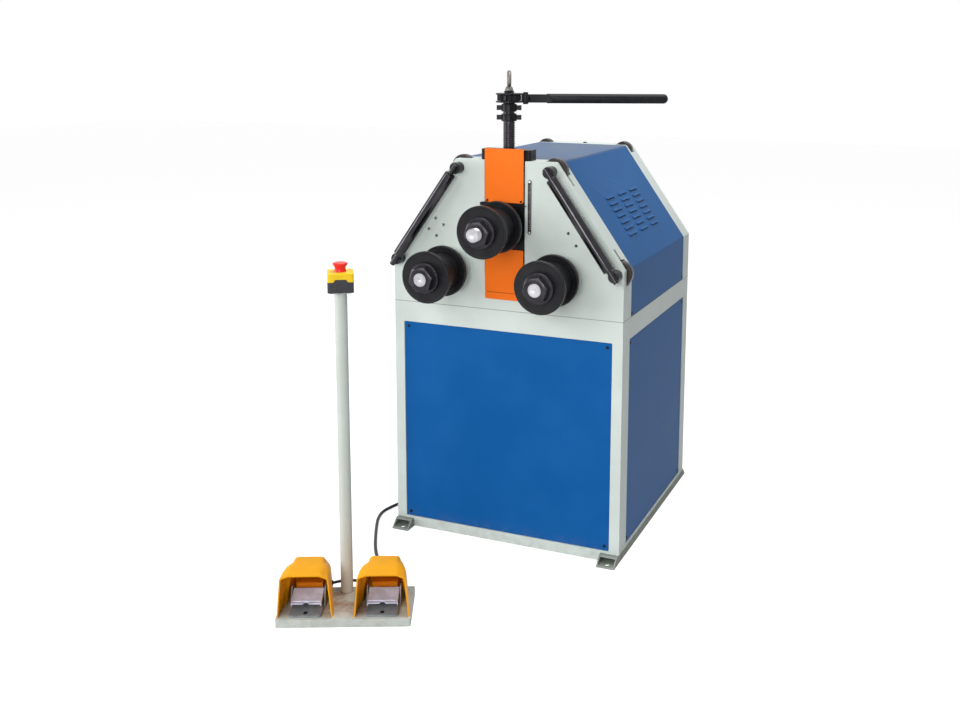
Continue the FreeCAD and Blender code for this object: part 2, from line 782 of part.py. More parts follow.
def make_guide():
    low = slot_low + 4
    high = crown_z - rim_thick - 1
    web = box(slide_flange_half + 0.3, guide_outer, plate_thick, slide_back_y + 11, low, high)
    lip = box(slide_flange_half - 12, slide_flange_half + 1, slide_back_y + 0.4, slide_back_y + 11,
              low, high)
    return fuse([web, lip])


def make_slide_covers():
    y0 = cover_front_y
    y1 = cover_front_y + cover_thick

    def plate(low, high):
        cover = box(-cover_half, cover_half, y0, y1, low, high)
        return round_edges(cover, 5, lambda e: runs_along(e, Vector(0, 1, 0)))

    upper = plate(upper_cover_low, upper_cover_high)
    strap = box(-30, 30, y1, slide_front_y, upper_cover_low + 12, slide_high - 8)
    upper = fuse([upper, strap])
    lower = plate(lower_cover_low, lower_cover_high)
    lower = lower.cut(box(-cover_half - 1, cover_half + 1, y1 - 0.8, y1 + 1, lower_cover_low - 1, joggle_z))
    for side in (-1, 1):
        lower = lower.cut(box(side * cover_half - 3, side * cover_half + 3, y0 - 1, y1 + 1,
                              joggle_z - 1, joggle_z + 1))
    tab = box(-30, 30, y1, slide_front_y, slide_low + 1, lower_cover_high - 2)
    return [upper, fuse([lower, tab])]


def make_pointer():
    # Strap under the upper cover with a nub at the left and a pointer at the right
    y0 = cover_front_y - 2.5
    outline = [(-68, 934), (54, 934), (57, 935), (65.6, 937.6), (57, 940.2), (54, 943.6), (-62, 943.6),
               (-68, 942)]
    strap = prism_y(outline, y0, cover_front_y)
    pads = [box(x - 6, x + 6, cover_front_y, slide_front_y, 934.5, 943) for x in (-40, 40)]
    screws = [rod_y(x, 939, 3, y0 - 1.6, y0) for x in (-40, 40)]
    return fuse([strap] + pads + screws)


def make_crosshead():
    block = box(-crosshead_half, crosshead_half, crosshead_front_y, crosshead_back_y, crown_z,
                crosshead_high)
    block = round_edges(block, 6, lambda e: runs_along(e, Vector(0, 0, 1)))
    block = block.cut(rod_z(0, spindle_y, spindle_radius + running_clearance, crown_z - 1,
                            crosshead_high + 1))
    screws = both_sides(rod_z(crown_screw_x, crown_screw_y, crown_screw_radius, crown_z - rim_thick,
                              crosshead_high - 8))
    return [block.cut(screws)] + screws


def make_spindle():
    neck_low = slide_high - 20.3
    collar_low = slide_high - 34.7
    foot = slide_high + 0.3
    profile = [(collar_low, 0), (collar_low, 19), (collar_low + 1, 20), (neck_low - 1, 20),
               (neck_low, 19), (neck_low, 12), (foot, 12), (foot, spindle_radius - 1.5),
               (foot + 1.5, spindle_radius), (spindle_top - 1, spindle_radius),
               (spindle_top - 1, 14), (ratchet_high + 0.3, 14), (ratchet_high + 0.3, 0)]
    return turned_z(profile, 0, spindle_y)


def make_stop_nut(z0):
    # Round nut with four square lugs for a hook spanner, halfway up its side
    z1 = z0 + stop_nut_high
    lug_gap = (stop_nut_high - stop_lug_high) / 2
    nut = rod_z(0, spindle_y, 20, z0, z1)
    for i in range(4):
        lug = box(17, 32.2, -4.5, 4.5, z0 + lug_gap, z1 - lug_gap)
        lug.rotate(Vector(0, 0, 0), Vector(0, 0, 1), stop_nut_turn + 90 * i)
        lug.translate(Vector(0, spindle_y, 0))
        nut = nut.fuse(lug)
    return nut.removeSplitter().cut(rod_z(0, spindle_y, spindle_radius, z0 - 1, z1 + 1))


def make_ratchet_wheel():
    teeth = 14
    z0, z1 = spindle_top + 5, ratchet_high - 5
    points = []
    for i in range(teeth):
        a = 2 * math.pi * i / teeth
        points.append((27 * math.cos(a), spindle_y + 27 * math.sin(a)))
        b = a + 2 * math.pi / teeth * 0.82
        points.append((31.5 * math.cos(b), spindle_y + 31.5 * math.sin(b)))
    return prism_z(points, z0, z1).cut(rod_z(0, spindle_y, 14, z0 - 1, z1 + 1))


def along_lever(distance, z=0.0):
    return Vector(distance * math.cos(lever_angle), spindle_y + distance * math.sin(lever_angle), z)


def turn_to_lever(shape):
    shape.rotate(Vector(0, 0, 0), Vector(0, 0, 1), math.degrees(lever_angle))
    shape.translate(Vector(0, spindle_y, 0))
    return shape


def make_ratchet_head():
    # Two discs over and under the ratchet wheel, joined behind the pawl, with a lug for the lever
    web_x = ratchet_radius - 1.5
    plates = []
    for z0 in (spindle_top, ratchet_high - 4):
        plates.append(Part.makeCylinder(ratchet_radius, 4, Vector(0, 0, z0)))
        plates.append(box(0, web_x + 3.5, -12, 12, z0, z0 + 4))
    web = box(web_x, web_x + 3.5, -12, 12, spindle_top, ratchet_high)
    lug = box(web_x + 2, fork_bolt_x + 8, -6.5, 6.5, lever_z - 4.5, lever_z + 4.5)
    head = fuse(plates + [web, lug])
    head = head.cut([Part.makeCylinder(14.1, 40, Vector(0, 0, spindle_top - 5)),
                     Part.makeCylinder(fork_bolt_radius, 60, Vector(fork_bolt_x, 0, spindle_top - 20))])
    return turn_to_lever(head)


def make_lever():
    # Tube pressed flat and slotted over the head's lug, a through bolt, and a round handle
    start, end = lever_flat
    low, high = lever_z - lever_flat_high / 2, lever_z + lever_flat_high / 2
    half = lever_flat_wide / 2
    flat = box(start, end, -half, half, low, high)
    handle_end = lever_length - lever_radius
    handle = rod_between(Vector(end - 8, 0, lever_z), Vector(handle_end, 0, lever_z), lever_radius)
    squeezed = prism_z([(end - 8, -half), (end + 14, -lever_radius), (lever_length, -lever_radius),
                        (lever_length, lever_radius), (end + 14, lever_radius), (end - 8, half)],
                       lever_z - 20, lever_z + 20)
    tip = Part.makeSphere(lever_radius, Vector(handle_end, 0, lever_z))
    lever = fuse([flat, handle.common(squeezed), tip])
    lever = lever.cut([box(start - 1, fork_bolt_x + 11, -20, 20, lever_z - 4.8, lever_z + 4.8),
                       Part.makeCylinder(fork_bolt_radius, 60, Vector(fork_bolt_x, 0, low - 20))])
    bolt = [Part.makeCylinder(fork_bolt_radius, high - low, Vector(fork_bolt_x, 0, low)),
            Part.makeCylinder(6.5, 5.5, Vector(fork_bolt_x, 0, high)),
            prism_z(hexagon(12, fork_bolt_x, 0), low - 4, low)]
    return [turn_to_lever(lever), turn_to_lever(fuse(bolt))]


def make_lifting_eye():
    # Hexagon foot, cone and ring, the ring standing across the lever
    base = ratchet_high + 0.3
    foot = prism_z(hexagon(23, 0, spindle_y), base, base + 6)
    cone = turned_z([(base + 6, 0), (base + 6, 11), (base + 9, 11), (base + 16, 8), (base + 17.5, 0)],
                    0, spindle_y)
    ring = Part.makeTorus(17.2, 5.4, Vector(0, spindle_y, base + 36), along_lever(1) - along_lever(0))
    return fuse([foot, cone, ring])


# Support rollers on slanted axles, corner rollers and their pins

def pin_parts(side):
    top = Vector(side * top_pin[0], 0, top_pin[1])
    low = Vector(side * low_pin[0], 0, low_pin[1])
    return top, low


def corner_pin(x, z, y0, back):
    # Shoulder, axle and head of one corner roller pin, behind the plate at y0
    away = 1 if back else -1
    steps = [(y0 - away * plate_thick, 0), (y0 - away * plate_thick, pin_radius),
             (y0, pin_radius), (y0, pin_radius + 3), (y0 + away * 1.8, pin_radius + 3),
             (y0 + away * 1.8, pin_radius), (y0 + away * 24.2, pin_radius),
             (y0 + away * 24.2, pin_radius + 4), (y0 + away * 30, pin_radius + 4),
             (y0 + away * 30, 0)]
    return turned_y(steps, x, z)


def make_roller_pins(side):
    # Two posts through the front plate, a slanted axle across them, and their roller pins
    top, low = pin_parts(side)
    parts = []
    for at in (top, low):
        parts.append(turned_y([(0, 0), (0, post_radius), (-post_reach + 2, post_radius),
                               (-post_reach, post_radius - 2), (-post_reach, 0)], at.x, at.z))
        parts.append(corner_pin(at.x, at.z, plate_thick, True))
    run = (low - top).normalize()
    lift = Vector(0, axle_y, 0)
    parts.append(rod_between(top + lift - run * 12, low + lift + run * 17, axle_radius))
    return fuse(parts)


def make_support_roller(side):
    top, low = pin_parts(side)
    run = (low - top).normalize()
    lift = Vector(0, axle_y, 0)
    start = top + lift + run * support_gap
    end = low + lift - run * support_gap
    roller = rod_between(start, end, support_radius)
    roller = roller.makeChamfer(1.5, [e for e in roller.Edges if len(e.Vertexes) == 1
                                      and abs(e.Length - 2 * math.pi * support_radius) < 0.1])
    return roller.cut(rod_between(start - run * 5, end + run * 5, axle_radius + running_clearance))


def make_corner_roller(x, z, y0, rim):
    # Roller with a shallow ring groove in the side away from the plate
    y1 = y0 + corner_roller_width
    bore = pin_radius + running_clearance
    profile = [(y0, bore), (y0, rim - 3), (y0 + 3, rim), (y1 - 3, rim), (y1, rim - 3), (y1, rim - 6),
               (y1 - 3, rim - 8), (y1 - 3, pin_radius + 6.5), (y1, pin_radius + 5), (y1, bore)]
    return turned_y(profile, x, z)


def make_scale():
    strip = box(scale_x[0], scale_x[1], -2, 0, scale_z[0], scale_z[1])
    centre = (scale_x[0] + scale_x[1]) / 2
    screws = [rod_y(centre, z, 3.2, -3.6, -2) for z in (scale_z[0] + 5, scale_z[1] - 5)]
    return fuse([strip] + screws)


def make_glands():
    # Pedal cable gland on the left, and the empty mains inlet gland at the back
    def gland(at, out):
        nut = Part.makeCylinder(11, 8, at, out)
        cap = Part.makeCone(9.5, 6.5, 16, at + out * 8, out)
        tail = Part.makeCylinder(gland_tail, 14, at - out * 14, out)
        return fuse([nut, cap, tail])

    left = gland(Vector(-half_width + panel_recess, *cable_entry), Vector(-1, 0, 0))
    x, z = mains_entry
    rear = gland(Vector(x, body_depth - panel_recess, z), Vector(0, 1, 0))
    return [left, rear.cut(rod_y(x, z, mains_bore, body_depth + 6, body_depth + 30))]


# Pedal stand

def on_stand(shape):
    shape.rotate(Vector(0, 0, 0), Vector(0, 0, 1), stand_turn)
    shape.translate(stand_at)
    return shape


def turn_on_pole(shape):
    shape.rotate(Vector(*pole_at, 0), Vector(0, 0, 1), box_turn)
    return shape


def make_stand():
    tray = box(-stand_half, stand_half, 0, stand_depth, 0, stand_height)
    tray = round_edges(tray, 4, lambda e: runs_along(e, Vector(0, 0, 1)))
    tray = tray.cut(box(-stand_half + stand_sheet, stand_half - stand_sheet, stand_sheet,
                        stand_depth - stand_sheet, -1, stand_height - stand_sheet))
    x, y = pole_at
    pole = rod_z(x, y, pole_radius, stand_height - 1, pole_top)
    top_plate = box(x - 25, x + 25, box_middle_y - 25, box_middle_y + 25, pole_top - 1, box_low)
    stand = fuse([tray, pole, turn_on_pole(top_plate)])
    return on_stand(stand.cut(rod_z(x, y, pole_radius - 2, stand_height - 10, pole_top + 5)))


def make_stop_box():
    # Base with a boss for the cable entry, and a lid notched over the boss
    x = pole_at[0]
    y0, y1 = box_middle_y - 31, box_middle_y + 31
    upright = Vector(0, 0, 1)
    base = box(x - box_half, x + box_half, y0, y1, box_low, box_split)
    base = round_edges(base, 5, lambda e: runs_along(e, upright))
    boss = prism_y([(x - boss_half, box_low + 2), (x + boss_half, box_low + 2), (x + boss_half, box_split),
                    (x + boss_half - 4, boss_high), (x - boss_half + 4, boss_high),
                    (x - boss_half, box_split)], y0 - 2, y0 + 6)
    boss = round_edges(boss, 2, lambda e: runs_along(e, Vector(0, 1, 0)))
    base = base.fuse(boss)
    knock_out = rod_y(x, box_low + 13.4, 9.4, y0 - 3, y0 - 1.2)
    base = base.cut(knock_out.cut(rod_y(x, box_low + 13.4, 8.2, y0 - 3, y0 - 1.2)))
    base = base.cut(box(x - box_half + 3, x + box_half - 3, y0 + 8, y1 - 3, box_low + 3, box_split + 30))
    lid = box(x - box_half, x + box_half, y0, y1, box_split, box_high)
    lid = round_edges(lid, 5, lambda e: runs_along(e, upright))
    lid = lid.makeFillet(2, [e for e in lid.Edges if abs(e.CenterOfMass.z - box_high) < 0.01])
    lid = lid.cut(boss)
    lid = lid.cut(box(x - box_half + 3, x + box_half - 3, y0 + 8, y1 - 3, box_split - 5, box_high - 4))
    lid = lid.cut(rod_z(x, box_middle_y, button_bore, box_split, box_high + 5))
    return on_stand(turn_on_pole(base.removeSplitter())), on_stand(turn_on_pole(lid))


def make_stop_button():
    # Waisted mushroom head on a stem that slides down into the lid
    stem = button_bore - 0.3
    z = box_high
    profile = [(box_split + 6, 0), (box_split + 6, stem), (z + 0.5, stem), (z + 6.5, 12.3), (z + 12, 13.6),
               (z + 17, 17.4), (z + 19.5, 17.4), (z + 21.4, 15), (z + 20.8, 6), (z + 20.6, 0)]
    return on_stand(turn_on_pole(turned_z(profile, pole_at[0], box_middle_y)))


def hood_form(inset, low, over):
    # Loft through the hood's sections, drawn in by the inset and carried on over the mouth
    wires = []
    for y, foot, side, roof, side_z, roof_z in hood_stations:
        half = [(foot - inset, low), (side - inset, side_z - inset), (roof - inset / 2, roof_z - inset)]
        if y == hood_stations[0][0]:
            y -= over
        if y == hood_stations[-1][0]:
            y -= inset
        corners = [Vector(x, y, z) for x, z in half + [(-x, z) for x, z in reversed(half)]]
        wires.append(Part.makePolygon(corners + corners[:1]))
    return Part.makeLoft(wires, True, True)


def make_hood(x):
    hood = hood_form(0, stand_height, 0).cut(hood_form(hood_wall, stand_height - 5, 6))
    ports = [rod_y(0, port_z, 7, 140, 160)]
    inward = 1 if x < 0 else -1
    turn = math.radians(link_port_turn)
    port_way = Vector(inward * math.cos(turn), math.sin(turn), 0)
    port_at = Vector(inward * 44, 144.4, port_z)
    ports.append(Part.makeCylinder(link_cable_radius, 24, port_at - port_way * 12, port_way))
    hood = hood.cut(ports if x > 0 else ports[1:])
    hood.translate(Vector(x, 0, 0))
    return on_stand(hood)


def make_pedal_base(x):
    # Die-cast shoe with two cheeks that carry the treadle pin, and the switch block behind it
    low = stand_height
    pin_y, pin_z = treadle_pin
    cheek = treadle_half + 2
    floor = box(-37.5, 37.5, 9, 128, low, low + 5)
    front = [e for e in floor.Edges if runs_along(e, Vector(0, 0, 1)) and e.CenterOfMass.y < 10]
    floor = floor.makeFillet(8, front)
    cheeks = both_sides(prism_x([(62, low), (94, low), (94, pin_z + 8), (88, pin_z + 14), (76, pin_z + 14),
                                 (66, pin_z)], cheek, cheek + 3))
    feet = both_sides(box(30, cheek + 3, 62, 94, low, low + 5))
    switch = prism_x([(92, low), (128, low), (128, low + 36), (118, low + 45), (96, low + 45),
                      (92, low + 41)], -31, 31)
    pin = rod_between(Vector(-cheek - 3, pin_y, pin_z), Vector(cheek + 3, pin_y, pin_z), 3)
    shoe = fuse([floor, switch, pin] + cheeks + feet)
    shoe = shoe.cut(rod_z(0, 22, 3, low + 3, low + 10))
    shoe.translate(Vector(x, 0, 0))
    return on_stand(shoe)


def make_treadle(x):
    # Pressed plate with turned-down sides, a raised hem in front and a rolled barrel on the pin
    pin_y, pin_z = treadle_pin
    front_y, front_z = 31.0, 44.5
    back_z = pin_z + 5.5
    plate = prism_x([(front_y, front_z - 3), (front_y, front_z), (pin_y, back_z), (pin_y, back_z - 3.5)],
                    -treadle_half, treadle_half)
    flanges = both_sides(prism_x([(front_y, front_z - 7), (front_y, front_z - 1), (pin_y - 2, back_z - 2),
                                  (pin_y - 2, pin_z - 4)], treadle_half - 2, treadle_half))
    slope = (back_z - front_z) / (pin_y - front_y)
    hem = prism_x([(front_y + 6, front_z - 1 + 6 * slope), (front_y + 7, front_z + 1.2 + 7 * slope),
                   (front_y + 9, front_z + 1.2 + 9 * slope), (front_y + 10, front_z - 1 + 10 * slope)],
                  -treadle_half + 3, treadle_half - 3)
    barrel = rod_between(Vector(-treadle_half, pin_y, pin_z), Vector(treadle_half, pin_y, pin_z), 6)
    treadle = fuse([plate, barrel, hem] + flanges)
    notch = rod_z(0, front_y - 1, 7, front_z - 20, front_z + 20)
    bore = rod_between(Vector(-50, pin_y, pin_z), Vector(50, pin_y, pin_z), 3 + running_clearance)
    treadle = treadle.cut([notch, bore])
    treadle.translate(Vector(x, 0, 0))
    return on_stand(treadle)


def make_pedal_gland():
    nut = rod_y(pedal_x, port_z, 10, 150, 157)
    cap = Part.makeCone(9, 6, 13, Vector(pedal_x, 157, port_z), Vector(0, 1, 0))
    tail = rod_y(pedal_x, port_z, 7, 143, 150)
    return on_stand(fuse([nut, cap, tail]))


# Assembly

keep("cabinet_frame", make_cabinet())
keep("skids", *both_sides(make_skid()))
keep("front_panel", make_end_panel(panel_recess))
rear_panel = make_end_panel(body_depth - panel_recess - sheet)
keep("rear_panel", rear_panel.cut(rod_y(*mains_entry, gland_tail, body_depth - 20, body_depth + 1)))
left_panel, right_panel = both_sides(make_side_panel())
cable_hole = rod_x(*cable_entry, gland_tail, -half_width - 1, -half_width + 20)
keep("side_panels", left_panel.cut(cable_hole), right_panel)
keep("panel_screws", *make_panel_screws())
keep("front_head", make_front_head())
keep("rear_head", make_rear_head())
keep("upper_cover", make_upper_cover())
keep("slide_guides", *both_sides(make_guide()))
keep("crosshead", *make_crosshead())
keep("bearing_plate", *make_bearing_plate())
keep("shaft_bearings", *make_shaft_bearings())
keep("gearbox", make_gearbox())
keep("drive_motor", make_motor())
keep("depth_scale", make_scale())
rear_plate_y = body_depth - plate_thick
keep("roller_pins", make_roller_pins(-1), make_roller_pins(1),
     *[corner_pin(side * rear_pin[0], rear_pin[1], rear_plate_y, False) for side in (-1, 1)])
for name, x, z in (("left", -roll_x, roll_z), ("right", roll_x, roll_z), ("top", 0, top_roll_z)):
    keep(name + "_roll_shaft", make_top_shaft() if name == "top" else make_lower_shaft(x))
    keep(name + "_roll_core", make_core(x, z))
    keep(name + "_roll_discs", make_disc(front_disc_y, x, z), make_disc(rear_disc_y, x, z))
    keep(name + "_roll_nut", *make_nut(x, z))
keep("left_drive_gear", make_drive_gear(-roll_x))
keep("right_drive_gear", make_drive_gear(roll_x))
keep("drive_pinion", make_pinion())
keep("roll_slide", make_slide())
keep("slide_covers", *make_slide_covers())
keep("depth_pointer", make_pointer())
keep("lift_spindle", make_spindle())
keep("stop_nuts", *[make_stop_nut(z) for z in stop_nuts_low])
keep("ratchet_wheel", make_ratchet_wheel())
keep("ratchet_head", make_ratchet_head())
keep("ratchet_lever", *make_lever())
keep("lifting_eye", make_lifting_eye())
keep("left_support_roller", make_support_roller(-1))
keep("right_support_roller", make_support_roller(1))
roller_spots = {"front_left_top": (-top_pin[0], top_pin[1]), "front_right_top": top_pin,
                "front_left_low": (-low_pin[0], low_pin[1]), "front_right_low": low_pin}
for name, (x, z) in roller_spots.items():
    keep(name + "_roller", make_corner_roller(x, z, plate_thick + 2.3, corner_roller_radius))
for name, side in (("rear_left", -1), ("rear_right", 1)):
    keep(name + "_roller", make_corner_roller(side * rear_pin[0], rear_pin[1],
                                              rear_plate_y - 2.3 - corner_roller_width, rear_roller_radius))
keep("pedal_stand", make_stand())
stop_base, stop_lid = make_stop_box()
keep("stop_box", stop_base)
keep("stop_box_lid", stop_lid)
keep("stop_button", make_stop_button())
keep("pedal_hoods", make_hood(-pedal_x), make_hood(pedal_x))
keep("pedal_bases", make_pedal_base(-pedal_x), make_pedal_base(pedal_x))
keep("left_treadle", make_treadle(-pedal_x))
keep("right_treadle", make_treadle(pedal_x))
keep("cable_glands", *make_glands(), make_pedal_gland())
keep("pedal_link_cable", on_stand(tube(link_route, link_cable_radius, "link cable")))
keep("pedal_cable", tube(cable_route, cable_radius, "pedal cable"))

os.makedirs("parts", exist_ok=True)
for name, solids in nodes.items():
    shape = Part.makeCompound(solids) if len(solids) > 1 else solids[0]
    shape.translate(Vector(0, -anchor_middle_y, 0))
    shape.exportStep("parts/" + name + ".step")
print(len(nodes), "nodes")
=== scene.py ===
import json
import math

import bmesh
import bpy
import numpy as np
from mathutils import Matrix, Vector

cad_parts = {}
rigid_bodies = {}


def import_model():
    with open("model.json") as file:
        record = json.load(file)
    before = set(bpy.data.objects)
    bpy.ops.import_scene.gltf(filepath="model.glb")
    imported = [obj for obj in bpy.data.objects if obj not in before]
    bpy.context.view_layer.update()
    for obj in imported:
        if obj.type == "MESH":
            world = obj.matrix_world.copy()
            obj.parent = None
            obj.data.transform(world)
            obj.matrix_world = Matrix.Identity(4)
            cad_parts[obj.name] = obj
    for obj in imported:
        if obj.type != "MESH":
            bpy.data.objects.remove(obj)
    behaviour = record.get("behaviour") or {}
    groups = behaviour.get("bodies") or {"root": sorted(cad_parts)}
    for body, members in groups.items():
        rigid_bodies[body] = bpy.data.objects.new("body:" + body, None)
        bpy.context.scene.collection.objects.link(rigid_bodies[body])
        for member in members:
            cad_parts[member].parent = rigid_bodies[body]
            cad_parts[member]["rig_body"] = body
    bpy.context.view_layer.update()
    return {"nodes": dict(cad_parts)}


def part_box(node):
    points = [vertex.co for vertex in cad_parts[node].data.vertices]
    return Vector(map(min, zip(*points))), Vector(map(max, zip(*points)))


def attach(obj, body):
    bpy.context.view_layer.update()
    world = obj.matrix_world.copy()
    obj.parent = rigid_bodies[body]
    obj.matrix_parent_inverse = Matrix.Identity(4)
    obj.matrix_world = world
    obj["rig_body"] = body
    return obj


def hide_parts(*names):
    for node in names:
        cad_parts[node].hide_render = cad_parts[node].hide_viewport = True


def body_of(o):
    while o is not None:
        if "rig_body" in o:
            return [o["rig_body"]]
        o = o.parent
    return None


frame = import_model()
mm = 0.001
print("frame loaded")


# Camera, solved from the photograph's straight edges and refitted with a smaller vertical shift

view = {
    "place": (1.14601, -2.94185, 1.33405),
    "turnLeft": 22.445,
    "dip": 8.983,
    "roll": 0.291,
    "lens": 41.306,
    "shift": (-0.04983, -0.14),
}

cameraData = bpy.data.cameras.new("photoCamera")
cameraData.sensor_width = 36
cameraData.lens = view["lens"]
cameraData.shift_x, cameraData.shift_y = view["shift"]
photoCamera = bpy.data.objects.new("photoCamera", cameraData)
bpy.context.collection.objects.link(photoCamera)
photoCamera.matrix_world = (Matrix.Translation(view["place"])
                            @ Matrix.Rotation(math.radians(view["turnLeft"]), 4, "Z")
                            @ Matrix.Rotation(math.radians(90 - view["dip"]), 4, "X")
                            @ Matrix.Rotation(math.radians(view["roll"]), 4, "Z"))
bpy.context.scene.camera = photoCamera
print("camera set")


# Cables: each follows the same points as its solid

pedalCable = {
    "route": [(-0.3525, 0.024, 0.044), (-0.390, 0.024, 0.044), (-0.423, 0.003, 0.033),
              (-0.438, -0.036, 0.018), (-0.428, -0.076, 0.0065), (-0.408, -0.116, 0.0047),
              (-0.389, -0.160, 0.0047), (-0.386, -0.204, 0.0047), (-0.398, -0.244, 0.0047),
              (-0.406, -0.286, 0.0047), (-0.394, -0.333, 0.0047), (-0.368, -0.386, 0.0047),
              (-0.336, -0.446, 0.0047), (-0.304, -0.502, 0.0047), (-0.269, -0.552, 0.0047),
              (-0.231, -0.591, 0.008), (-0.195, -0.625, 0.024), (-0.1689, -0.6633, 0.038),
              (-0.1545, -0.6952, 0.038)],
    "diameter": 0.009,
    "length": 0.8715,
}

linkCable = {
    "route": [(-46, 144.4, 38), (-33, 151.3, 38), (-20.5, 157, 37.5), (-7, 160.5, 37),
              (7, 159.5, 37), (20.5, 156, 37.5), (33, 151.3, 38), (46, 144.4, 38)],
    "diameter": 0.007,
}

standPlace = {"turn": math.radians(24.4), "at": (-0.1662, -0.8872, 0.0)}


def onStand(points):
    # Points drawn square to the pedal stand, in millimetres, turned and moved to its place
    points = np.asarray(points, float) * mm
    c, s = math.cos(standPlace["turn"]), math.sin(standPlace["turn"])
    turned = np.stack([points[..., 0] * c - points[..., 1] * s,
                       points[..., 0] * s + points[..., 1] * c, points[..., 2]], -1)
    return turned + np.array(standPlace["at"])


def nurbsCable(name, route, diameter):
    curve = bpy.data.curves.new(name, "CURVE")
    curve.dimensions = "3D"
    curve.bevel_depth = 1.0  # the points hold the radius, which keeps the curve's box tight
    curve.bevel_resolution = 6
    curve.resolution_u = 10
    curve.use_fill_caps = True
    line = curve.splines.new("NURBS")
    line.points.add(len(route) - 1)
    line.points.foreach_set("co", np.c_[np.array(route), np.ones(len(route))].ravel())
    line.points.foreach_set("radius", np.full(len(route), diameter / 2))
    line.order_u = 3
    line.use_endpoint_u = True
    cable = bpy.data.objects.new(name, curve)
    bpy.context.collection.objects.link(cable)
    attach(cable, "root")
    return cable


cableObject = nurbsCable("pedalCable", pedalCable["route"], pedalCable["diameter"])
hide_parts("pedal_cable")
linkObject = nurbsCable("pedalLinkCable", onStand(linkCable["route"]), linkCable["diameter"])
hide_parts("pedal_link_cable")
print("cables laid")


# Shader maths

class Wire:
    # One shader socket; sums, products and comparisons of wires add the Math nodes that they need
    def __init__(self, paint, socket):
        self.paint = paint
        self.socket = socket

    def maths(self, operation, *values):
        return self.paint.add("ShaderNodeMath", {"operation": operation}, dict(enumerate(values)))

    def __add__(self, other):
        return self.maths("ADD", self, other)

    def __sub__(self, other):
        return self.maths("SUBTRACT", self, other)

    def __rsub__(self, other):
        return self.maths("SUBTRACT", other, self)

    def __mul__(self, other):
        return self.maths("MULTIPLY", self, other)

    def __truediv__(self, other):
        return self.maths("DIVIDE", self, other)

    def __rtruediv__(self, other):
        return self.maths("DIVIDE", other, self)

    def __gt__(self, other):
        return self.maths("GREATER_THAN", self, other)

    def __lt__(self, other):
        return self.maths("LESS_THAN", self, other)

    def __abs__(self):
        return self.maths("ABSOLUTE", self)

    def fract(self):
        return self.maths("FRACT", self)

    def either(self, other):
        return self.maths("MAXIMUM", self, other)

    __radd__ = __add__
    __rmul__ = __mul__


class Paint:
    # The nodes of a material or a world round its one shader, built up from wires
    def __init__(self, owner, shader="BsdfPrincipled", output="OutputMaterial", **uniform):
        owner.use_nodes = True
        self.owner = owner
        self.tree = owner.node_tree
        self.tree.nodes.clear()
        self.shader = self.tree.nodes.new("ShaderNode" + shader)
        end = self.tree.nodes.new("ShaderNode" + output)
        self.tree.links.new(self.shader.outputs[0], end.inputs[0])
        for socket, value in uniform.items():
            self.set(socket.replace("_", " ").title().replace("Ior", "IOR"), value)
        self.place = self.add("ShaderNodeTexCoord", output="Object")

    def set(self, socket, value):
        self.join(self.shader.inputs[socket], value)

    def join(self, socket, value):
        if isinstance(value, Wire):
            self.tree.links.new(value.socket, socket)
        else:
            socket.default_value = value

    def add(self, kind, settings=None, inputs=None, output=0):
        node = self.tree.nodes.new(kind)
        for name, value in (settings or {}).items():
            setattr(node, name, value)
        for name, value in (inputs or {}).items():
            self.join(node.inputs[name], value)
        return Wire(self, node.outputs[output])

    def noise(self, scale, detail=3.0, rough=0.55, place=None, stretch=None):
        place = place or self.place
        if stretch:
            place = self.add("ShaderNodeMapping", None, {"Vector": place, "Scale": stretch})
        return self.add("ShaderNodeTexNoise", None,
                        {"Vector": place, "Scale": scale, "Detail": detail, "Roughness": rough})

    def window(self, wire, low, high):
        # 0 below low, 1 above high, smooth between
        return self.add("ShaderNodeMapRange", {"interpolation_type": "SMOOTHSTEP"},
                        {"Value": wire, "From Min": low, "From Max": high})

    def mix(self, mask, first, second):
        mixed = self.add("ShaderNodeMix", {"data_type": "RGBA"}, {"Factor": mask}, 2)
        sockets = mixed.socket.node.inputs
        for socket, value in ((sockets[6], first), (sockets[7], second)):
            self.join(socket, value if isinstance(value, Wire) else (*value, 1))
        return mixed

    def axes(self):
        node = self.add("ShaderNodeSeparateXYZ", None, {0: self.place}).socket.node
        return [Wire(self, socket) for socket in node.outputs]

    def bump(self, height, depth, strength):
        return self.add("ShaderNodeBump", None, {"Height": height, "Distance": depth, "Strength": strength})

    def rays(self):
        # 1 where the camera, a gloss or a glass looks along the ray, else 0
        node = self.add("ShaderNodeLightPath").socket.node
        camera, glossy, through = (Wire(self, node.outputs["Is " + name + " Ray"])
                                   for name in ("Camera", "Glossy", "Transmission"))
        return camera.either(glossy).either(through)


# Finishes

def tinted(colour, share, lift=0.0):
    return tuple(min(1.0, part * share + lift) for part in colour)


def newPaint(name, **uniform):
    return Paint(bpy.data.materials.new(name), **uniform)


def standAxes(paint):
    # Distances across from the tray's middle and back from its front edge, and the height
    x, y, z = paint.axes()
    c, s = math.cos(standPlace["turn"]), math.sin(standPlace["turn"])
    dx, dy = x - standPlace["at"][0], y - standPlace["at"][1]
    return dx * c + dy * s, dy * c - dx * s, z


dustAndSheen = {  # where each layer fades in or out, in metres, and its colour
    "low": (0.0, 0.07), "lowColour": (0.21, 0.17, 0.12),
    "trayFoot": (0.017, 0.0195), "trayHead": (0.0215, 0.024), "trayEdge": (0.002, 0.040),
    "trayMiddle": (0.020, 0.085), "trayColour": (0.25, 0.13, 0.055),
    # the crown's grey layer is painted sheen, not dust
    "crown": (1.0475, 1.0530), "crownSheenColour": (0.155, 0.17, 0.18),
}


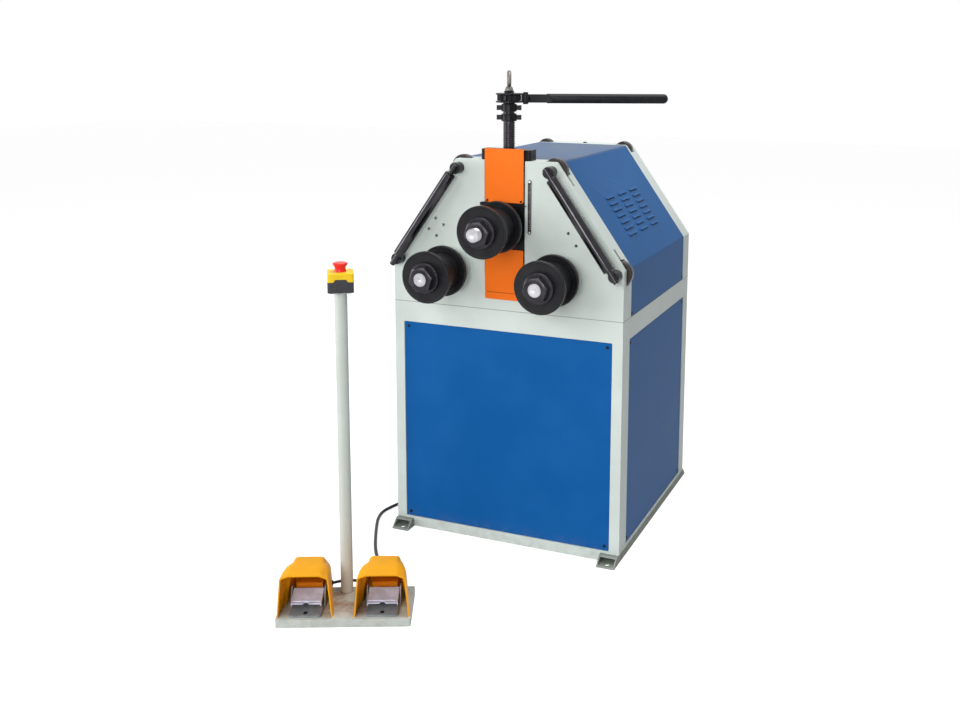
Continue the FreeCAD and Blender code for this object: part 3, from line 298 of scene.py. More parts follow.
def trayDust(paint):
    # Trodden dust on the top of the tray, thickest between the pedals, and none along its front edge
    across, deep, z = standAxes(paint)
    middle = 1 - paint.window(abs(across), *dustAndSheen["trayMiddle"])
    top = paint.window(z, *dustAndSheen["trayFoot"]) * (1 - paint.window(z, *dustAndSheen["trayHead"]))
    patchy = paint.window(paint.noise(16.0, 6, 0.7), 0.30, 0.62)
    mask = top * paint.window(deep, *dustAndSheen["trayEdge"]) * patchy * (middle * 0.55 + 0.30)
    return mask, dustAndSheen["trayColour"]


def crownSheen(paint):
    # Grey film on the flat top: painted sheen, the whitish glare of the flat, laid on in patches
    flat = paint.window(paint.axes()[2], *dustAndSheen["crown"])
    patchy = paint.window(paint.noise(9.0, 5, 0.65), 0.2, 0.8)
    return flat * (patchy * 0.35 + 0.35), dustAndSheen["crownSheenColour"]


block = {"front": 0.0915, "foot": 0.0255, "colour": (0.62, 0.19, 0.006)}


def switchBlock(paint):
    # The block behind each treadle is moulded in the hood's colour
    deep, z = standAxes(paint)[1:]
    return (deep > block["front"]) * (z > block["foot"]), block["colour"]


enamel = {
    "frame": {"colour": (0.60, 0.665, 0.632), "rough": 0.42, "peel": 0.25, "seams": [0.6540]},
    "front": {"colour": (0.001, 0.092, 0.318), "rough": 0.40, "peel": 0.60},
    # side_panels and upper_cover: the front's blue made darker and greyer, painted shade and glare for faces
    # turned from the lamps; the real paint is one blue
    "cover": {"colour": (0.018, 0.098, 0.275), "rough": 0.54, "peel": 0.30, "over": crownSheen},
    "orange": {"colour": (0.860, 0.165, 0.012), "rough": 0.42, "peel": 0.18, "seams": [0.7030]},
    "tray": {"colour": (0.54, 0.58, 0.545), "rough": 0.48, "peel": 0.25, "over": trayDust},
    # skids: the frame's grey-green at about 0.42 of its brightness, painted shade under the cabinet
    "skid": {"colour": (0.25, 0.28, 0.25), "rough": 0.50, "peel": 0.25},
    "motor": {"colour": (0.045, 0.075, 0.110), "rough": 0.45, "peel": 0.20},
}


def enamelled(name, colour, rough, peel, over=None, seams=()):
    # Sprayed enamel: orange-peel skin, cloudy gloss, faint rub marks, dust near the floor, and at each
    # seam's height the dark line where one sheet ends on the next
    paint = newPaint(name, ior=1.20)
    cloud = paint.noise(7.0, 4)
    rub = paint.window(paint.noise(26.0, 6, 0.7, stretch=(1, 1, 6)), 0.62, 0.74)
    low = 1 - paint.window(paint.axes()[2], *dustAndSheen["low"])
    grime = low * paint.window(paint.noise(45.0, 5, 0.65), 0.35, 0.75)
    shade = paint.mix(paint.window(cloud, 0.35, 0.68), tinted(colour, 0.965), tinted(colour, 1.035, 0.003))
    shade = paint.mix(grime * 0.28, shade, dustAndSheen["lowColour"])
    if over:
        mask, tint = over(paint)
        shade = paint.mix(mask, shade, tint)
    for height in seams:
        off = paint.window(abs(paint.axes()[2] - height), 0.0003, 0.0011)
        shade = paint.mix((1 - off) * 0.85, shade, tinted(colour, 0.2))
    paint.set("Base Color", shade)
    paint.set("Roughness", cloud * 0.10 + rub * 0.10 + grime * 0.25 + (rough - 0.05))
    paint.set("Normal", paint.bump(paint.noise(900.0, 2), 0.0002 * peel, 0.5))
    return paint.owner


steel = {
    "black": {"colour": (0.009, 0.009, 0.011), "rough": 0.34, "metal": 0.2},
    "pin": {"colour": (0.028, 0.027, 0.030), "rough": 0.20, "metal": 0.8},
    "nut": {"colour": (0.030, 0.028, 0.033), "rough": 0.26, "metal": 0.75},
    "bright": {"colour": (0.50, 0.50, 0.51), "rough": 0.30, "metal": 1.0},
    "zinc": {"colour": (0.50, 0.53, 0.66), "rough": 0.42, "metal": 0.1},
    "cast": {"colour": (0.34, 0.35, 0.36), "rough": 0.55, "metal": 0.6},
    "lever": {"colour": (0.006, 0.007, 0.008), "rough": 0.40, "metal": 0.0, "worn": 0.2},
    "base": {"colour": (0.23, 0.25, 0.265), "rough": 0.50, "metal": 0.1, "over": switchBlock},
    "eye": {"colour": (0.15, 0.145, 0.13), "rough": 0.45, "metal": 0.7, "worn": 0.2},
    "screw": {"colour": (0.010, 0.011, 0.016), "rough": 0.36, "metal": 0.2},
}


def steelFinish(name, colour, rough, metal, worn=0.0, over=None):
    # Steel with a fine grain, oily clouds and, where it is worn, bare flecks
    paint = newPaint(name, ior=1.22)
    cloud = paint.noise(38.0, 4, 0.6)
    grain = paint.noise(420.0, 3, 0.6)
    shade = paint.mix(paint.window(cloud, 0.35, 0.70), colour, tinted(colour, 1.30, 0.004))
    fleck = paint.window(paint.noise(210.0, 5, 0.75), 0.66, 0.74) * worn
    shade = paint.mix(fleck, shade, (0.32, 0.30, 0.28))
    if over:
        mask, tint = over(paint)
        shade = paint.mix(mask, shade, tint)
    paint.set("Base Color", shade)
    paint.set("Metallic", fleck * (1 - metal) + metal)
    paint.set("Roughness", cloud * 0.14 + grain * 0.06 + (rough - 0.10))
    paint.set("Normal", paint.bump(grain, 0.00002, 0.5))
    return paint.owner


lathe = {
    "black": {"colour": (0.009, 0.009, 0.011), "rough": 0.30, "metal": 0.2, "worn": 0.08, "cut": 0.00008},
    "core": {"colour": (0.010, 0.010, 0.011), "rough": 0.42, "metal": 0.2, "worn": 0.05, "cut": 0.00003},
    "gloss": {"colour": (0.032, 0.031, 0.034), "rough": 0.14, "metal": 0.9, "worn": 0.03, "cut": 0.00001},
    "bright": {"colour": (0.36, 0.36, 0.375), "rough": 0.34, "metal": 1.0, "worn": 0.0, "cut": 0.00014},
    "roller": {"colour": (0.030, 0.026, 0.026), "rough": 0.28, "metal": 0.45, "worn": 0.35, "cut": 0.00003},
    "spindle": {"colour": (0.034, 0.031, 0.036), "rough": 0.20, "metal": 0.8, "worn": 0.04, "cut": 0.00001},
}


def latheFinish(name, colour, rough, metal, worn, cut):
    # Turned steel: the grooves follow the profile, read from the piece's own map
    paint = newPaint(name, ior=1.30)
    along = paint.add("ShaderNodeTexCoord", output="UV")
    grooves = paint.noise(1.0, 2, 0.6, place=along, stretch=(0.0, 2600.0, 1.0))
    cloud = paint.noise(32.0, 4, 0.6)
    fleck = paint.window(paint.noise(230.0, 5, 0.75), 0.66, 0.75) * worn
    shade = paint.mix(paint.window(cloud + grooves * 0.3, 0.45, 0.85), colour, tinted(colour, 1.35, 0.003))
    paint.set("Base Color", paint.mix(fleck, shade, (0.30, 0.28, 0.26)))
    paint.set("Metallic", fleck * (1 - metal) + metal)
    paint.set("Roughness", cloud * 0.12 + grooves * 0.08 + (rough - 0.10))
    paint.set("Normal", paint.bump(grooves, cut, 0.6))
    return paint.owner


plastic = {
    "hood": {"colour": (0.830, 0.360, 0.003), "rough": 0.44},
    "lid": {"colour": (0.840, 0.560, 0.020), "rough": 0.40},
    "grey": {"colour": (0.045, 0.045, 0.052), "rough": 0.50},
    "black": {"colour": (0.012, 0.012, 0.013), "rough": 0.48},
    "red": {"colour": (0.780, 0.030, 0.026), "rough": 0.24},
}


def moulded(name, colour, rough):
    # Moulded plastic: a fine leather grain, cloudy gloss and a little rubbed-in dust
    paint = newPaint(name, ior=1.25)
    cloud = paint.noise(22.0, 4, 0.6)
    dusty = paint.window(paint.noise(70.0, 5, 0.7), 0.56, 0.80) * 0.12
    shade = paint.mix(paint.window(cloud, 0.3, 0.7), tinted(colour, 0.94), tinted(colour, 1.05))
    paint.set("Base Color", paint.mix(dusty, shade, (0.42, 0.38, 0.33)))
    paint.set("Roughness", cloud * 0.14 + dusty + (rough - 0.07))
    paint.set("Normal", paint.bump(paint.noise(1500.0, 2, 0.5), 0.000018, 0.6))
    return paint.owner


def rubberFinish(name):
    # Cable sheath: matt black with faint draw lines and scuffs
    paint = newPaint(name, ior=1.5)
    cloud = paint.noise(60.0, 5, 0.7)
    paint.set("Base Color", paint.mix(paint.window(cloud, 0.5, 0.8) * 0.4, (0.010, 0.010, 0.011),
                                      (0.05, 0.048, 0.045)))
    paint.set("Roughness", cloud * 0.2 + 0.38)
    paint.set("Normal", paint.bump(paint.noise(700.0, 2), 0.00003, 0.5))
    return paint.owner


scaleMarks = {  # metres: lines are short, and longer by "longer" once in each group
    "step": 0.005, "group": 5, "line": 0.0012, "foot": 0.8725, "edge": 0.0012, "short": 0.0026,
    "longer": 0.0020, "bare": (0.0125, 0.012), "black": (0.014, 0.014, 0.016), "pale": (0.62, 0.62, 0.60),
}


def scaleFinish(name):
    # Black strip with a pale line every five millimetres, longer at every fifth
    paint = newPaint(name, ior=1.45)
    x, y, z = paint.axes()
    low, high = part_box("depth_scale")
    height = (z - scaleMarks["foot"]) / scaleMarks["step"]
    line = height.fract() < scaleMarks["line"] / scaleMarks["step"]
    fifth = (height / scaleMarks["group"]).fract() < 1 / scaleMarks["group"]
    edge = high.x - scaleMarks["edge"]
    reach = (edge - x) < fifth * scaleMarks["longer"] + scaleMarks["short"]
    inside = (z > low.z + scaleMarks["bare"][0]) * (z < high.z - scaleMarks["bare"][1]) * (x < edge)
    cloud = paint.noise(90.0, 4)
    paint.set("Base Color", paint.mix(line * reach * inside, scaleMarks["black"], scaleMarks["pale"]))
    paint.set("Roughness", cloud * 0.2 + 0.35)
    paint.set("Normal", paint.bump(cloud, 0.00003, 0.4))
    return paint.owner


finishes = {"cableRubber": rubberFinish("cableRubber"), "scaleStrip": scaleFinish("scaleStrip")}
for family, make, looks in (("Enamel", enamelled, enamel), ("Steel", steelFinish, steel),
                            ("Lathe", latheFinish, lathe), ("Plastic", moulded, plastic)):
    finishes.update({name + family: make(name + family, **look) for name, look in looks.items()})

for cable in (cableObject, linkObject):
    cable.data.materials.append(finishes["cableRubber"])

nodeFinish = {
    "frameEnamel": ["cabinet_frame", "skids", "front_head", "rear_head", "shaft_bearings"],
    "frontEnamel": ["front_panel", "rear_panel"],
    "coverEnamel": ["side_panels", "upper_cover"],
    "orangeEnamel": ["slide_covers"],
    "motorEnamel": ["drive_motor"],
    "trayEnamel": ["pedal_stand"],
    "blackSteel": ["roll_slide", "depth_pointer", "crosshead", "panel_screws", "slide_guides",
                   "ratchet_wheel", "ratchet_head", "stop_nuts", "lift_spindle", "left_roll_nut",
                   "right_roll_nut", "top_roll_nut", "left_roll_core", "right_roll_core", "top_roll_core",
                   "left_roll_discs", "right_roll_discs", "top_roll_discs"],
    "leverSteel": ["ratchet_lever"],
    "pinSteel": ["roller_pins", "left_support_roller", "right_support_roller", "front_left_top_roller",
                 "front_right_top_roller", "front_left_low_roller", "front_right_low_roller",
                 "rear_left_roller", "rear_right_roller"],
    "brightSteel": ["left_roll_shaft", "right_roll_shaft", "top_roll_shaft", "left_drive_gear",
                    "right_drive_gear", "drive_pinion", "lifting_eye", "bearing_plate"],
    "zincSteel": ["left_treadle", "right_treadle", "pedal_bases"],
    "castSteel": ["gearbox"],
    "hoodPlastic": ["pedal_hoods"],
    "lidPlastic": ["stop_box_lid"],
    "greyPlastic": ["stop_box"],
    "blackPlastic": ["cable_glands"],
    "redPlastic": ["stop_button"],
    "scaleStrip": ["depth_scale"],
    "cableRubber": ["pedal_cable", "pedal_link_cable"],
}
for finish, nodes in nodeFinish.items():
    for node in nodes:
        mesh = frame["nodes"][node].data
        mesh.materials.clear()
        mesh.materials.append(finishes[finish])
print("finishes made")


# Mesh makers: every skin is a grid of points in metres, rows along the piece and columns round it

def skin(grid, loop=False, ring=True):
    # Quads between neighbours; the map's u is the share of the way round, its v metres along the rows
    rows, columns = grid.shape[:2]
    index = np.arange(rows * columns).reshape(rows, columns)
    if ring:
        index = np.hstack([index, index[:, :1]])
    line = grid[:, 0]
    if loop:
        index = np.vstack([index, index[:1]])
        line = np.vstack([line, line[:1]])
    v = np.append(0, np.cumsum(np.linalg.norm(np.diff(line, axis=0), axis=1)))
    uv = np.stack(np.meshgrid(np.linspace(0, 1, index.shape[1]), v), -1)

    def corners(a):
        return np.stack([a[:-1, :-1], a[:-1, 1:], a[1:, 1:], a[1:, :-1]], 2)

    return grid.reshape(-1, 3), corners(index).reshape(-1, 4), corners(uv).reshape(-1, 2)


cleaning = {"double": 2e-6, "sliver": 1e-6, "flat": math.radians(0.6)}


def smoothed(mesh, sharp):
    # Smooth but for edges over the angle in degrees
    mesh.polygons.foreach_set("use_smooth", np.ones(len(mesh.polygons), bool))
    mesh.set_sharp_from_angle(angle=math.radians(sharp))
    return mesh


def merged(mesh, clean):
    # The mesh without doubles, after one more step of cleaning on its edges and points
    work = bmesh.new()
    work.from_mesh(mesh)
    bmesh.ops.remove_doubles(work, verts=work.verts, dist=cleaning["double"])
    clean(work)
    work.to_mesh(mesh)
    work.free()
    return mesh


def outwards(work):
    # Slivers gone and faces pointing out
    bmesh.ops.dissolve_degenerate(work, edges=work.edges, dist=cleaning["sliver"])
    bmesh.ops.recalc_face_normals(work, faces=work.faces)


def rejoined(work):
    # Triangles of one flat face made one face again
    bmesh.ops.dissolve_limit(work, angle_limit=cleaning["flat"], verts=work.verts, edges=work.edges)


def skinMesh(name, skins, sharp=32):
    points, quads, uv = zip(*skins)
    starts = np.append(0, np.cumsum([len(part) for part in points]))
    faces = np.vstack([part + start for part, start in zip(quads, starts)])
    mesh = bpy.data.meshes.new(name)
    mesh.from_pydata(np.vstack(points), [], faces.tolist())
    mesh.uv_layers.new(name="along").data.foreach_set("uv", np.vstack(uv).ravel())
    return smoothed(merged(mesh, outwards), sharp)


def piece(name, body, mesh, finish, replaced=()):
    thing = bpy.data.objects.new(name, mesh)
    bpy.context.collection.objects.link(thing)
    mesh.materials.clear()
    mesh.materials.append(finishes[finish])
    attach(thing, body)
    if replaced:
        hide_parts(*replaced)
    return thing


def leaned(a, corner, b, t):
    # Curve from a to b that leans towards the corner: (1-t)^2 a + 2t(1-t) corner + t^2 b
    return (1 - t) ** 2 * a + 2 * t * (1 - t) * corner + t ** 2 * b


def softened(profile, radius, steps=4):
    # Each corner rounded by a leaned curve between the points on its two sides that lie the radius away,
    # but never past 0.45 of a side; a corner on the axis stays sharp
    profile = np.array(profile, float)
    sides = [np.roll(profile, shift, 0) - profile for shift in (1, -1)]
    lengths = [np.linalg.norm(side, axis=1, keepdims=True) for side in sides]
    reach = np.minimum(np.minimum(*lengths) * 0.45, radius) * (profile[:, 1:] > 1e-6)
    a, b = (profile + side / np.maximum(length, 1e-9) * reach for side, length in zip(sides, lengths))
    t = np.linspace(0, 1, steps)[None, :, None]
    return leaned(a[:, None], profile[:, None], b[:, None], t).reshape(-1, 2)


def squareTo(way):
    # The way as a unit vector, and two more that are square to it and to each other
    way = np.array(way, float) / np.linalg.norm(way)
    first = np.cross(way, (0, 0, 1) if abs(way[2]) < 0.9 else (1, 0, 0))
    first /= np.linalg.norm(first)
    return way, first, np.cross(way, first)


def around(along, radius, at, way, angle):
    # Point = place + way * along + (cos(angle) * first + sin(angle) * second) * radius, with the place in
    # metres, along and radius in millimetres
    way, first, second = squareTo(way)
    along, radius, angle = np.broadcast_arrays(along, radius, angle)
    ring = np.cos(angle)[..., None] * first + np.sin(angle)[..., None] * second
    return np.array(at) + (way * along[..., None] + ring * radius[..., None]) * mm


def turned(profile, at, way=(0, 1, 0), soft=0.5, count=96):
    # Profile of (along, radius) carried round; one that has a bore closes on itself
    line = softened(profile, soft)
    angle = np.linspace(0, 2 * np.pi, count, endpoint=False)
    return skin(around(line[:, :1], line[:, 1:], at, way, angle), loop=profile[0][1] > 0)


def hexReach(angle, flats, turn):
    # Distance from the axis to a hexagon's side: half the flats over the cosine of the angle off its middle
    return flats / 2 / np.cos((angle - turn) % (np.pi / 3) - np.pi / 6)


hexEnd = {"flat": 0.475, "slope": math.tan(math.radians(30))}  # flat's radius over the width across flats


def hexNut(flats, length, bore, at, way, turn=0.0, count=72, back=False):
    # Hexagon cut by a cone at its front end, and at its back if asked: outside the round flat of the end,
    # each point lies deeper by its distance from that flat times the cone's slope
    angle = turn + np.linspace(0, 2 * np.pi, count, endpoint=False)
    reach = hexReach(angle, flats, turn)
    flat = flats * hexEnd["flat"]
    cut = (reach - flat) * hexEnd["slope"]
    rows = [(0, bore), (0, flat), (cut, reach), (length - cut * back, reach)]
    rows += [(length, flat)] * back + [(length, bore)]
    along, radius = np.array([[part + 0 * angle for part in row] for row in rows]).swapaxes(0, 1)
    return skin(around(along, radius, at, way, angle), loop=bore > 0)


def threaded(before, thread, after, at, way, count=64):
    # A profile with a screw thread let into it: at angle a and distance s along the axis, and with
    # w = |1 - 2 * fraction(s / pitch - a / 2 pi)|, the radius is crest - depth * (w - flat) / (1 - 2 flat),
    # held between crest and root, and both ends run out over one pitch
    first, last = thread["from"], thread["to"]
    s = np.arange(first, last, thread["pitch"] / 10)[:, None]
    angle = np.linspace(0, 2 * np.pi, count, endpoint=False)
    groove = np.abs(1 - 2 * ((s / thread["pitch"] - angle / (2 * np.pi)) % 1))
    groove = np.clip((groove - thread["flat"]) / (1 - 2 * thread["flat"]), 0, 1)
    fade = np.clip(np.minimum(s - first, last - s) / thread["pitch"], 0, 1)
    crest = thread["crest"] - thread["depth"] * groove * fade
    before, after = np.array(before, float), np.array(after, float)
    along = np.vstack([before[:, :1], s, after[:, :1]])
    radius = np.vstack([np.repeat(before[:, 1:], count, 1), crest, np.repeat(after[:, 1:], count, 1)])
    return skin(around(along, radius, at, way, angle))


def ringBar(middle, bar, at, way, count=72, steps=20):
    # Torus: a circle of the bar's radius carried round a circle of the middle radius
    turn = np.linspace(0, 2 * np.pi, steps, endpoint=False)[:, None]
    angle = np.linspace(0, 2 * np.pi, count, endpoint=False)
    return skin(around(bar * np.sin(turn), middle + bar * np.cos(turn), at, way, angle), loop=True)


screwHead = {  # shares of the head's height and radius, but the collar's depth is in millimetres
    "dome": [(1.0, 0.62), (0.94, 0.78), (0.72, 0.93), (0.4, 1.0), (0.0, 1.0)], "socketFoot": 0.25,
    "collar": (-1.2, 0.55), "count": 24,
}


def socketScrew(at, out, radius, height, socket):
    # Low dome with a hexagon socket, and a short collar in its hole
    angle = np.linspace(0, 2 * np.pi, screwHead["count"], endpoint=False)
    key = hexReach(angle, socket, 0.0)
    foot, (collar, collarShare) = height * screwHead["socketFoot"], screwHead["collar"]
    rows = [(foot, 0 * key), (foot, key), (height, key)]
    rows += [(height * up, radius * share) for up, share in screwHead["dome"]]
    rows += [(collar, radius * collarShare), (collar, 0)]
    along, reach = np.array([[part + 0 * key for part in row] for row in rows]).swapaxes(0, 1)
    return skin(around(along, reach, at, out, angle))


def softCopy(node, width, finish, angle=28, segments=2):
    # Copy of a node's mesh with its edges over the angle rounded by the width
    source = frame["nodes"][node]
    mesh = source.data.copy()
    mesh.name = node + "Soft"
    if "custom_normal" in mesh.attributes:
        mesh.attributes.remove(mesh.attributes["custom_normal"])
    smoothed(merged(mesh, rejoined), angle)
    thing = piece(node + "Soft", body_of(source)[0], mesh, finish, (node,))
    bevel = thing.modifiers.new("softEdges", "BEVEL")
    bevel.width = width * mm
    bevel.segments = segments
    bevel.limit_method = "ANGLE"
    bevel.angle_limit = math.radians(angle)
    bevel.harden_normals = True


softEdges = {  # width of the rounding in millimetres, then finish, then nodes
    1.6: {"frameEnamel": ["front_head", "rear_head"]},
    1.2: {"frameEnamel": ["cabinet_frame"], "skidEnamel": ["skids"], "trayEnamel": ["pedal_stand"],
          "blackSteel": ["crosshead", "roll_slide", "slide_guides"]},
    0.7: {"frontEnamel": ["front_panel", "rear_panel"], "coverEnamel": ["side_panels", "upper_cover"],
          "orangeEnamel": ["slide_covers"], "leverSteel": ["ratchet_lever"], "pinSteel": ["roller_pins"],
          "blackSteel": ["depth_pointer", "ratchet_wheel", "ratchet_head", "stop_nuts"]},
    0.8: {"zincSteel": ["left_treadle", "right_treadle"], "baseSteel": ["pedal_bases"],
          "lidPlastic": ["stop_box_lid"], "greyPlastic": ["stop_box"]},
}
for width, groups in softEdges.items():
    for finish, nodes in groups.items():
        for node in nodes:
            softCopy(node, width, finish)
print("plates, folded sheets and castings done")


# Roll sets

roll = {  # millimetres; threadEnds are the plain lengths before and behind the thread
    "discThick": 12, "land": 5, "landSlope": 1, "recess": 0.8, "rim": 1.5, "core": 50, "shaft": 20,
    "thread": {"crest": 17.5, "depth": 1.3, "flat": 0.0, "pitch": 3.0}, "threadEnds": (2, 1),
    "tip": [(5, 0), (0.2, 3.0), (0, 3.4), (0, 15.3), (0.3, 15.7)],
    "flats": 60, "nutTurn": math.radians(-12), "washer": 40, "washerThick": 10, "washerRim": 2,
    "collar": 30, "bevel": 1, "clear": 0.3,
    "gearSteps": [(287, 20), (287, 28), (299, 28), (299, 22), (339, 22), (339, 20)],
    "endSteps": [(254.3, 20), (254.3, 27)],
}


def boxOf(node):
    return [np.array(corner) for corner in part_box(node)]


def discSkin(at, radius):
    thick, rim, land, bore = roll["discThick"], roll["rim"], radius - roll["land"], roll["shaft"]
    profile = [(roll["recess"], bore), (roll["recess"], land - roll["landSlope"]), (0, land),
               (0, radius - rim), (rim, radius), (thick - rim, radius), (thick, radius - rim), (thick, bore)]
    return turned(profile, at, count=128)


def rollNut(at, length):
    # Hexagon nut with its round washer behind it
    bore, outer, rim = roll["thread"]["crest"], roll["washer"], roll["washerRim"]
    seat = length - roll["washerThick"]
    washer = turned([(seat, bore), (seat, outer - rim), (seat + rim, outer), (length, outer), (length, bore)],
                    at, soft=0.6)
    return [hexNut(roll["flats"], seat, bore, at, (0, 1, 0), roll["nutTurn"]), washer]


def rollShaft(at, seat, collar, bearing, back, steps):
    # Threaded front end, plain seat of the discs, collar up to the bearing, then the steps behind it
    bevel, shaft, wide, last = roll["bevel"], roll["shaft"], roll["collar"], steps[-1][1]
    end = bearing - roll["clear"]
    thread = roll["thread"] | {"from": roll["threadEnds"][0], "to": seat - roll["threadEnds"][1]}
    after = [(seat, thread["crest"]), (seat, shaft), (collar, shaft), (collar, wide - bevel),
             (collar + bevel, wide), (end - bevel, wide), (end, wide - bevel), (end, shaft)] + steps
    after += [(back - bevel, last), (back, last - bevel), (back, 0)]
    return threaded(roll["tip"], thread, after, at, (0, 1, 0))


for side in ("left", "right", "top"):
    body = side + "_roll"
    low, high = boxOf(side + "_roll_discs")
    middle = (low + high) / 2
    radius = (high[2] - low[2]) / 2 / mm
    rearDisc = high[1] - roll["discThick"] * mm
    discs = [discSkin((middle[0], y, middle[2]), radius) for y in (low[1], rearDisc)]
    piece(side + "FlangeDiscs", body, skinMesh("discs", discs), "blackLathe",
          [side + "_roll_discs"])

    coreLow, coreHigh = boxOf(side + "_roll_core")
    length = (coreHigh[1] - coreLow[1]) / mm
    core = turned([(0, roll["shaft"]), (0, roll["core"]), (length, roll["core"]), (length, roll["shaft"])],
                  (middle[0], coreLow[1], middle[2]), soft=0.8, count=112)
    piece(side + "RollCore", body, skinMesh("core", [core]), "coreLathe",
          [side + "_roll_core"])

    nutLow, nutHigh = boxOf(side + "_roll_nut")
    nut = rollNut((middle[0], nutLow[1], middle[2]), (nutHigh[1] - nutLow[1]) / mm)
    piece(side + "RollNut", body, skinMesh("nut", nut), "nutSteel", [side + "_roll_nut"])

    front, back = (corner[1] for corner in boxOf(side + "_roll_shaft"))
    bearing, steps = (("roll_slide", "endSteps") if side == "top" else ("shaft_bearings", "gearSteps"))
    seat, collar, shoulder, length = ((y - front) / mm for y in (
        low[1], rearDisc, boxOf(bearing)[0][1], back))
    shaft = rollShaft((middle[0], front, middle[2]), seat + roll["recess"], collar + roll["discThick"],
                      shoulder, length, roll[steps])
    piece(side + "RollShaft", body, skinMesh("shaft", [shaft]), "brightLathe",
          [side + "_roll_shaft"])
print("roll sets done")


# Support rollers and corner rollers

support = {  # the axle runs this far sideways and up, and the roller stops a gap short of both ends
    "radius": 14.7, "axle": 7.55, "chamfer": 1.5, "run": (179.2, -255.5), "gap": 18.6,
}

for side, sign in (("left", -1), ("right", 1)):
    way = np.array((sign * support["run"][0], 0, support["run"][1]))
    half = np.linalg.norm(way) / 2 - support["gap"]
    radius, axle, chamfer = support["radius"], support["axle"], support["chamfer"]
    low, high = boxOf(side + "_support_roller")
    profile = [(-half, axle), (-half, radius - chamfer), (-half + chamfer, radius), (half - chamfer, radius),
               (half, radius - chamfer), (half, axle)]
    rod = turned(profile, (low + high) / 2, way)
    piece(side + "SupportRoller", side + "_support", skinMesh("support", [rod]), "glossLathe",
          [side + "_support_roller"])

roller = {
    "names": ("front_left_top", "front_right_top", "front_left_low", "front_right_low", "rear_left",
              "rear_right"),
    "pin": 10.05, "bevel": 3, "face": 6, "groove": 3, "slope": 2, "hub": 5, "hubSlope": 1.5,
}

for name in roller["names"]:
    low, high = boxOf(name + "_roller")
    rim, width = (high[2] - low[2]) / 2 / mm, (high[1] - low[1]) / mm
    pin, bevel = roller["pin"], roller["bevel"]
    face, hub, deep = rim - roller["face"], pin + roller["hub"], width - roller["groove"]
    profile = [(0, pin), (0, rim - bevel), (bevel, rim), (width - bevel, rim), (width, rim - bevel),
               (width, face), (deep, face - roller["slope"]), (deep, hub + roller["hubSlope"]), (width, hub),
               (width, pin)]
    at = ((low[0] + high[0]) / 2, low[1], (low[2] + high[2]) / 2)
    camel = "".join(word.title() if i else word for i, word in enumerate(name.split("_")))
    piece(camel + "Roller", name, skinMesh("roller", [turned(profile, at, soft=0.8)]),
          "rollerLathe", [name + "_roller"])
print("rollers done")


# Spindle, lifting eye and button

spindle = {
    "thread": {"crest": 16, "depth": 1.8, "flat": 0.38, "pitch": 6.0}, "threadEnds": (1.5, 2), "run": 1.5,
    "root": 2.4, "collar": 20, "seat": 20.3, "neck": 12, "clear": 0.3, "head": 14, "bevel": 1,
    "leverTurn": math.radians(24.4),
}

low, high = boxOf("lift_spindle")
spindleAt = np.array(((low[0] + high[0]) / 2, (low[1] + high[1]) / 2, low[2]))
slideTop, headFoot, spindleTop = ((level - low[2]) / mm for level in (
    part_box("roll_slide")[1].z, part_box("ratchet_head")[0].z, high[2]))
neck, collar, head, bevel = (spindle[part] for part in ("neck", "collar", "head", "bevel"))
seat, clear, neckFoot = slideTop - spindle["seat"], slideTop + spindle["clear"], headFoot - spindle["run"]
crest = spindle["thread"]["crest"]
before = [(0, 0), (0, collar - bevel), (bevel, collar), (seat - bevel, collar), (seat, collar - bevel),
          (seat, neck), (clear, neck), (clear, crest - spindle["root"])]
after = [(neckFoot, crest - spindle["run"]), (neckFoot, head), (spindleTop - bevel, head),
         (spindleTop, head - bevel), (spindleTop, 0)]
thread = spindle["thread"] | {"from": slideTop + spindle["threadEnds"][0],
                              "to": headFoot - spindle["threadEnds"][1]}
screw = threaded(before, thread, after, spindleAt, (0, 0, 1))
piece("threadedSpindle", "spindle", skinMesh("spindle", [screw]), "spindleLathe",
      ["lift_spindle"])

eye = {"flats": 23, "foot": 6, "stem": [(5.5, 0), (5.5, 11), (9, 11), (16, 8), (20, 0)], "soft": 1.5,
       "middle": 17.2, "bar": 5.4, "lift": 36}
leverWay = np.array((math.cos(spindle["leverTurn"]), math.sin(spindle["leverTurn"]), 0))
eyeAt = np.array((spindleAt[0], spindleAt[1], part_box("lifting_eye")[0].z))
foot = hexNut(eye["flats"], eye["foot"], 0, eyeAt, (0, 0, 1), back=True)
stem = turned(eye["stem"], eyeAt, (0, 0, 1), soft=eye["soft"], count=64)
ring = ringBar(eye["middle"], eye["bar"], eyeAt + (0, 0, eye["lift"] * mm), leverWay)
piece("liftingEyeFoot", "spindle", skinMesh("eyeFoot", [foot]), "blackSteel")
piece("liftingEyeRing", "spindle", skinMesh("eye", [stem, ring]), "eyeSteel", ["lifting_eye"])

boss = {"out": 43, "radius": 11.2, "high": 21.4, "round": 0.8, "boltHead": 5.5}
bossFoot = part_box("ratchet_lever")[1].z - (boss["high"] + boss["boltHead"]) * mm
bossAt = np.array((spindleAt[0], spindleAt[1], bossFoot)) + boss["out"] * mm * leverWay
radius, top, edge = boss["radius"], boss["high"], boss["round"]
profile = [(0, 0), (0, radius - edge), (edge, radius), (top - edge, radius), (top, radius - edge), (top, 0)]
piece("leverBoss", "lever", skinMesh("leverBoss", [turned(profile, bossAt, (0, 0, 1))]), "leverSteel")

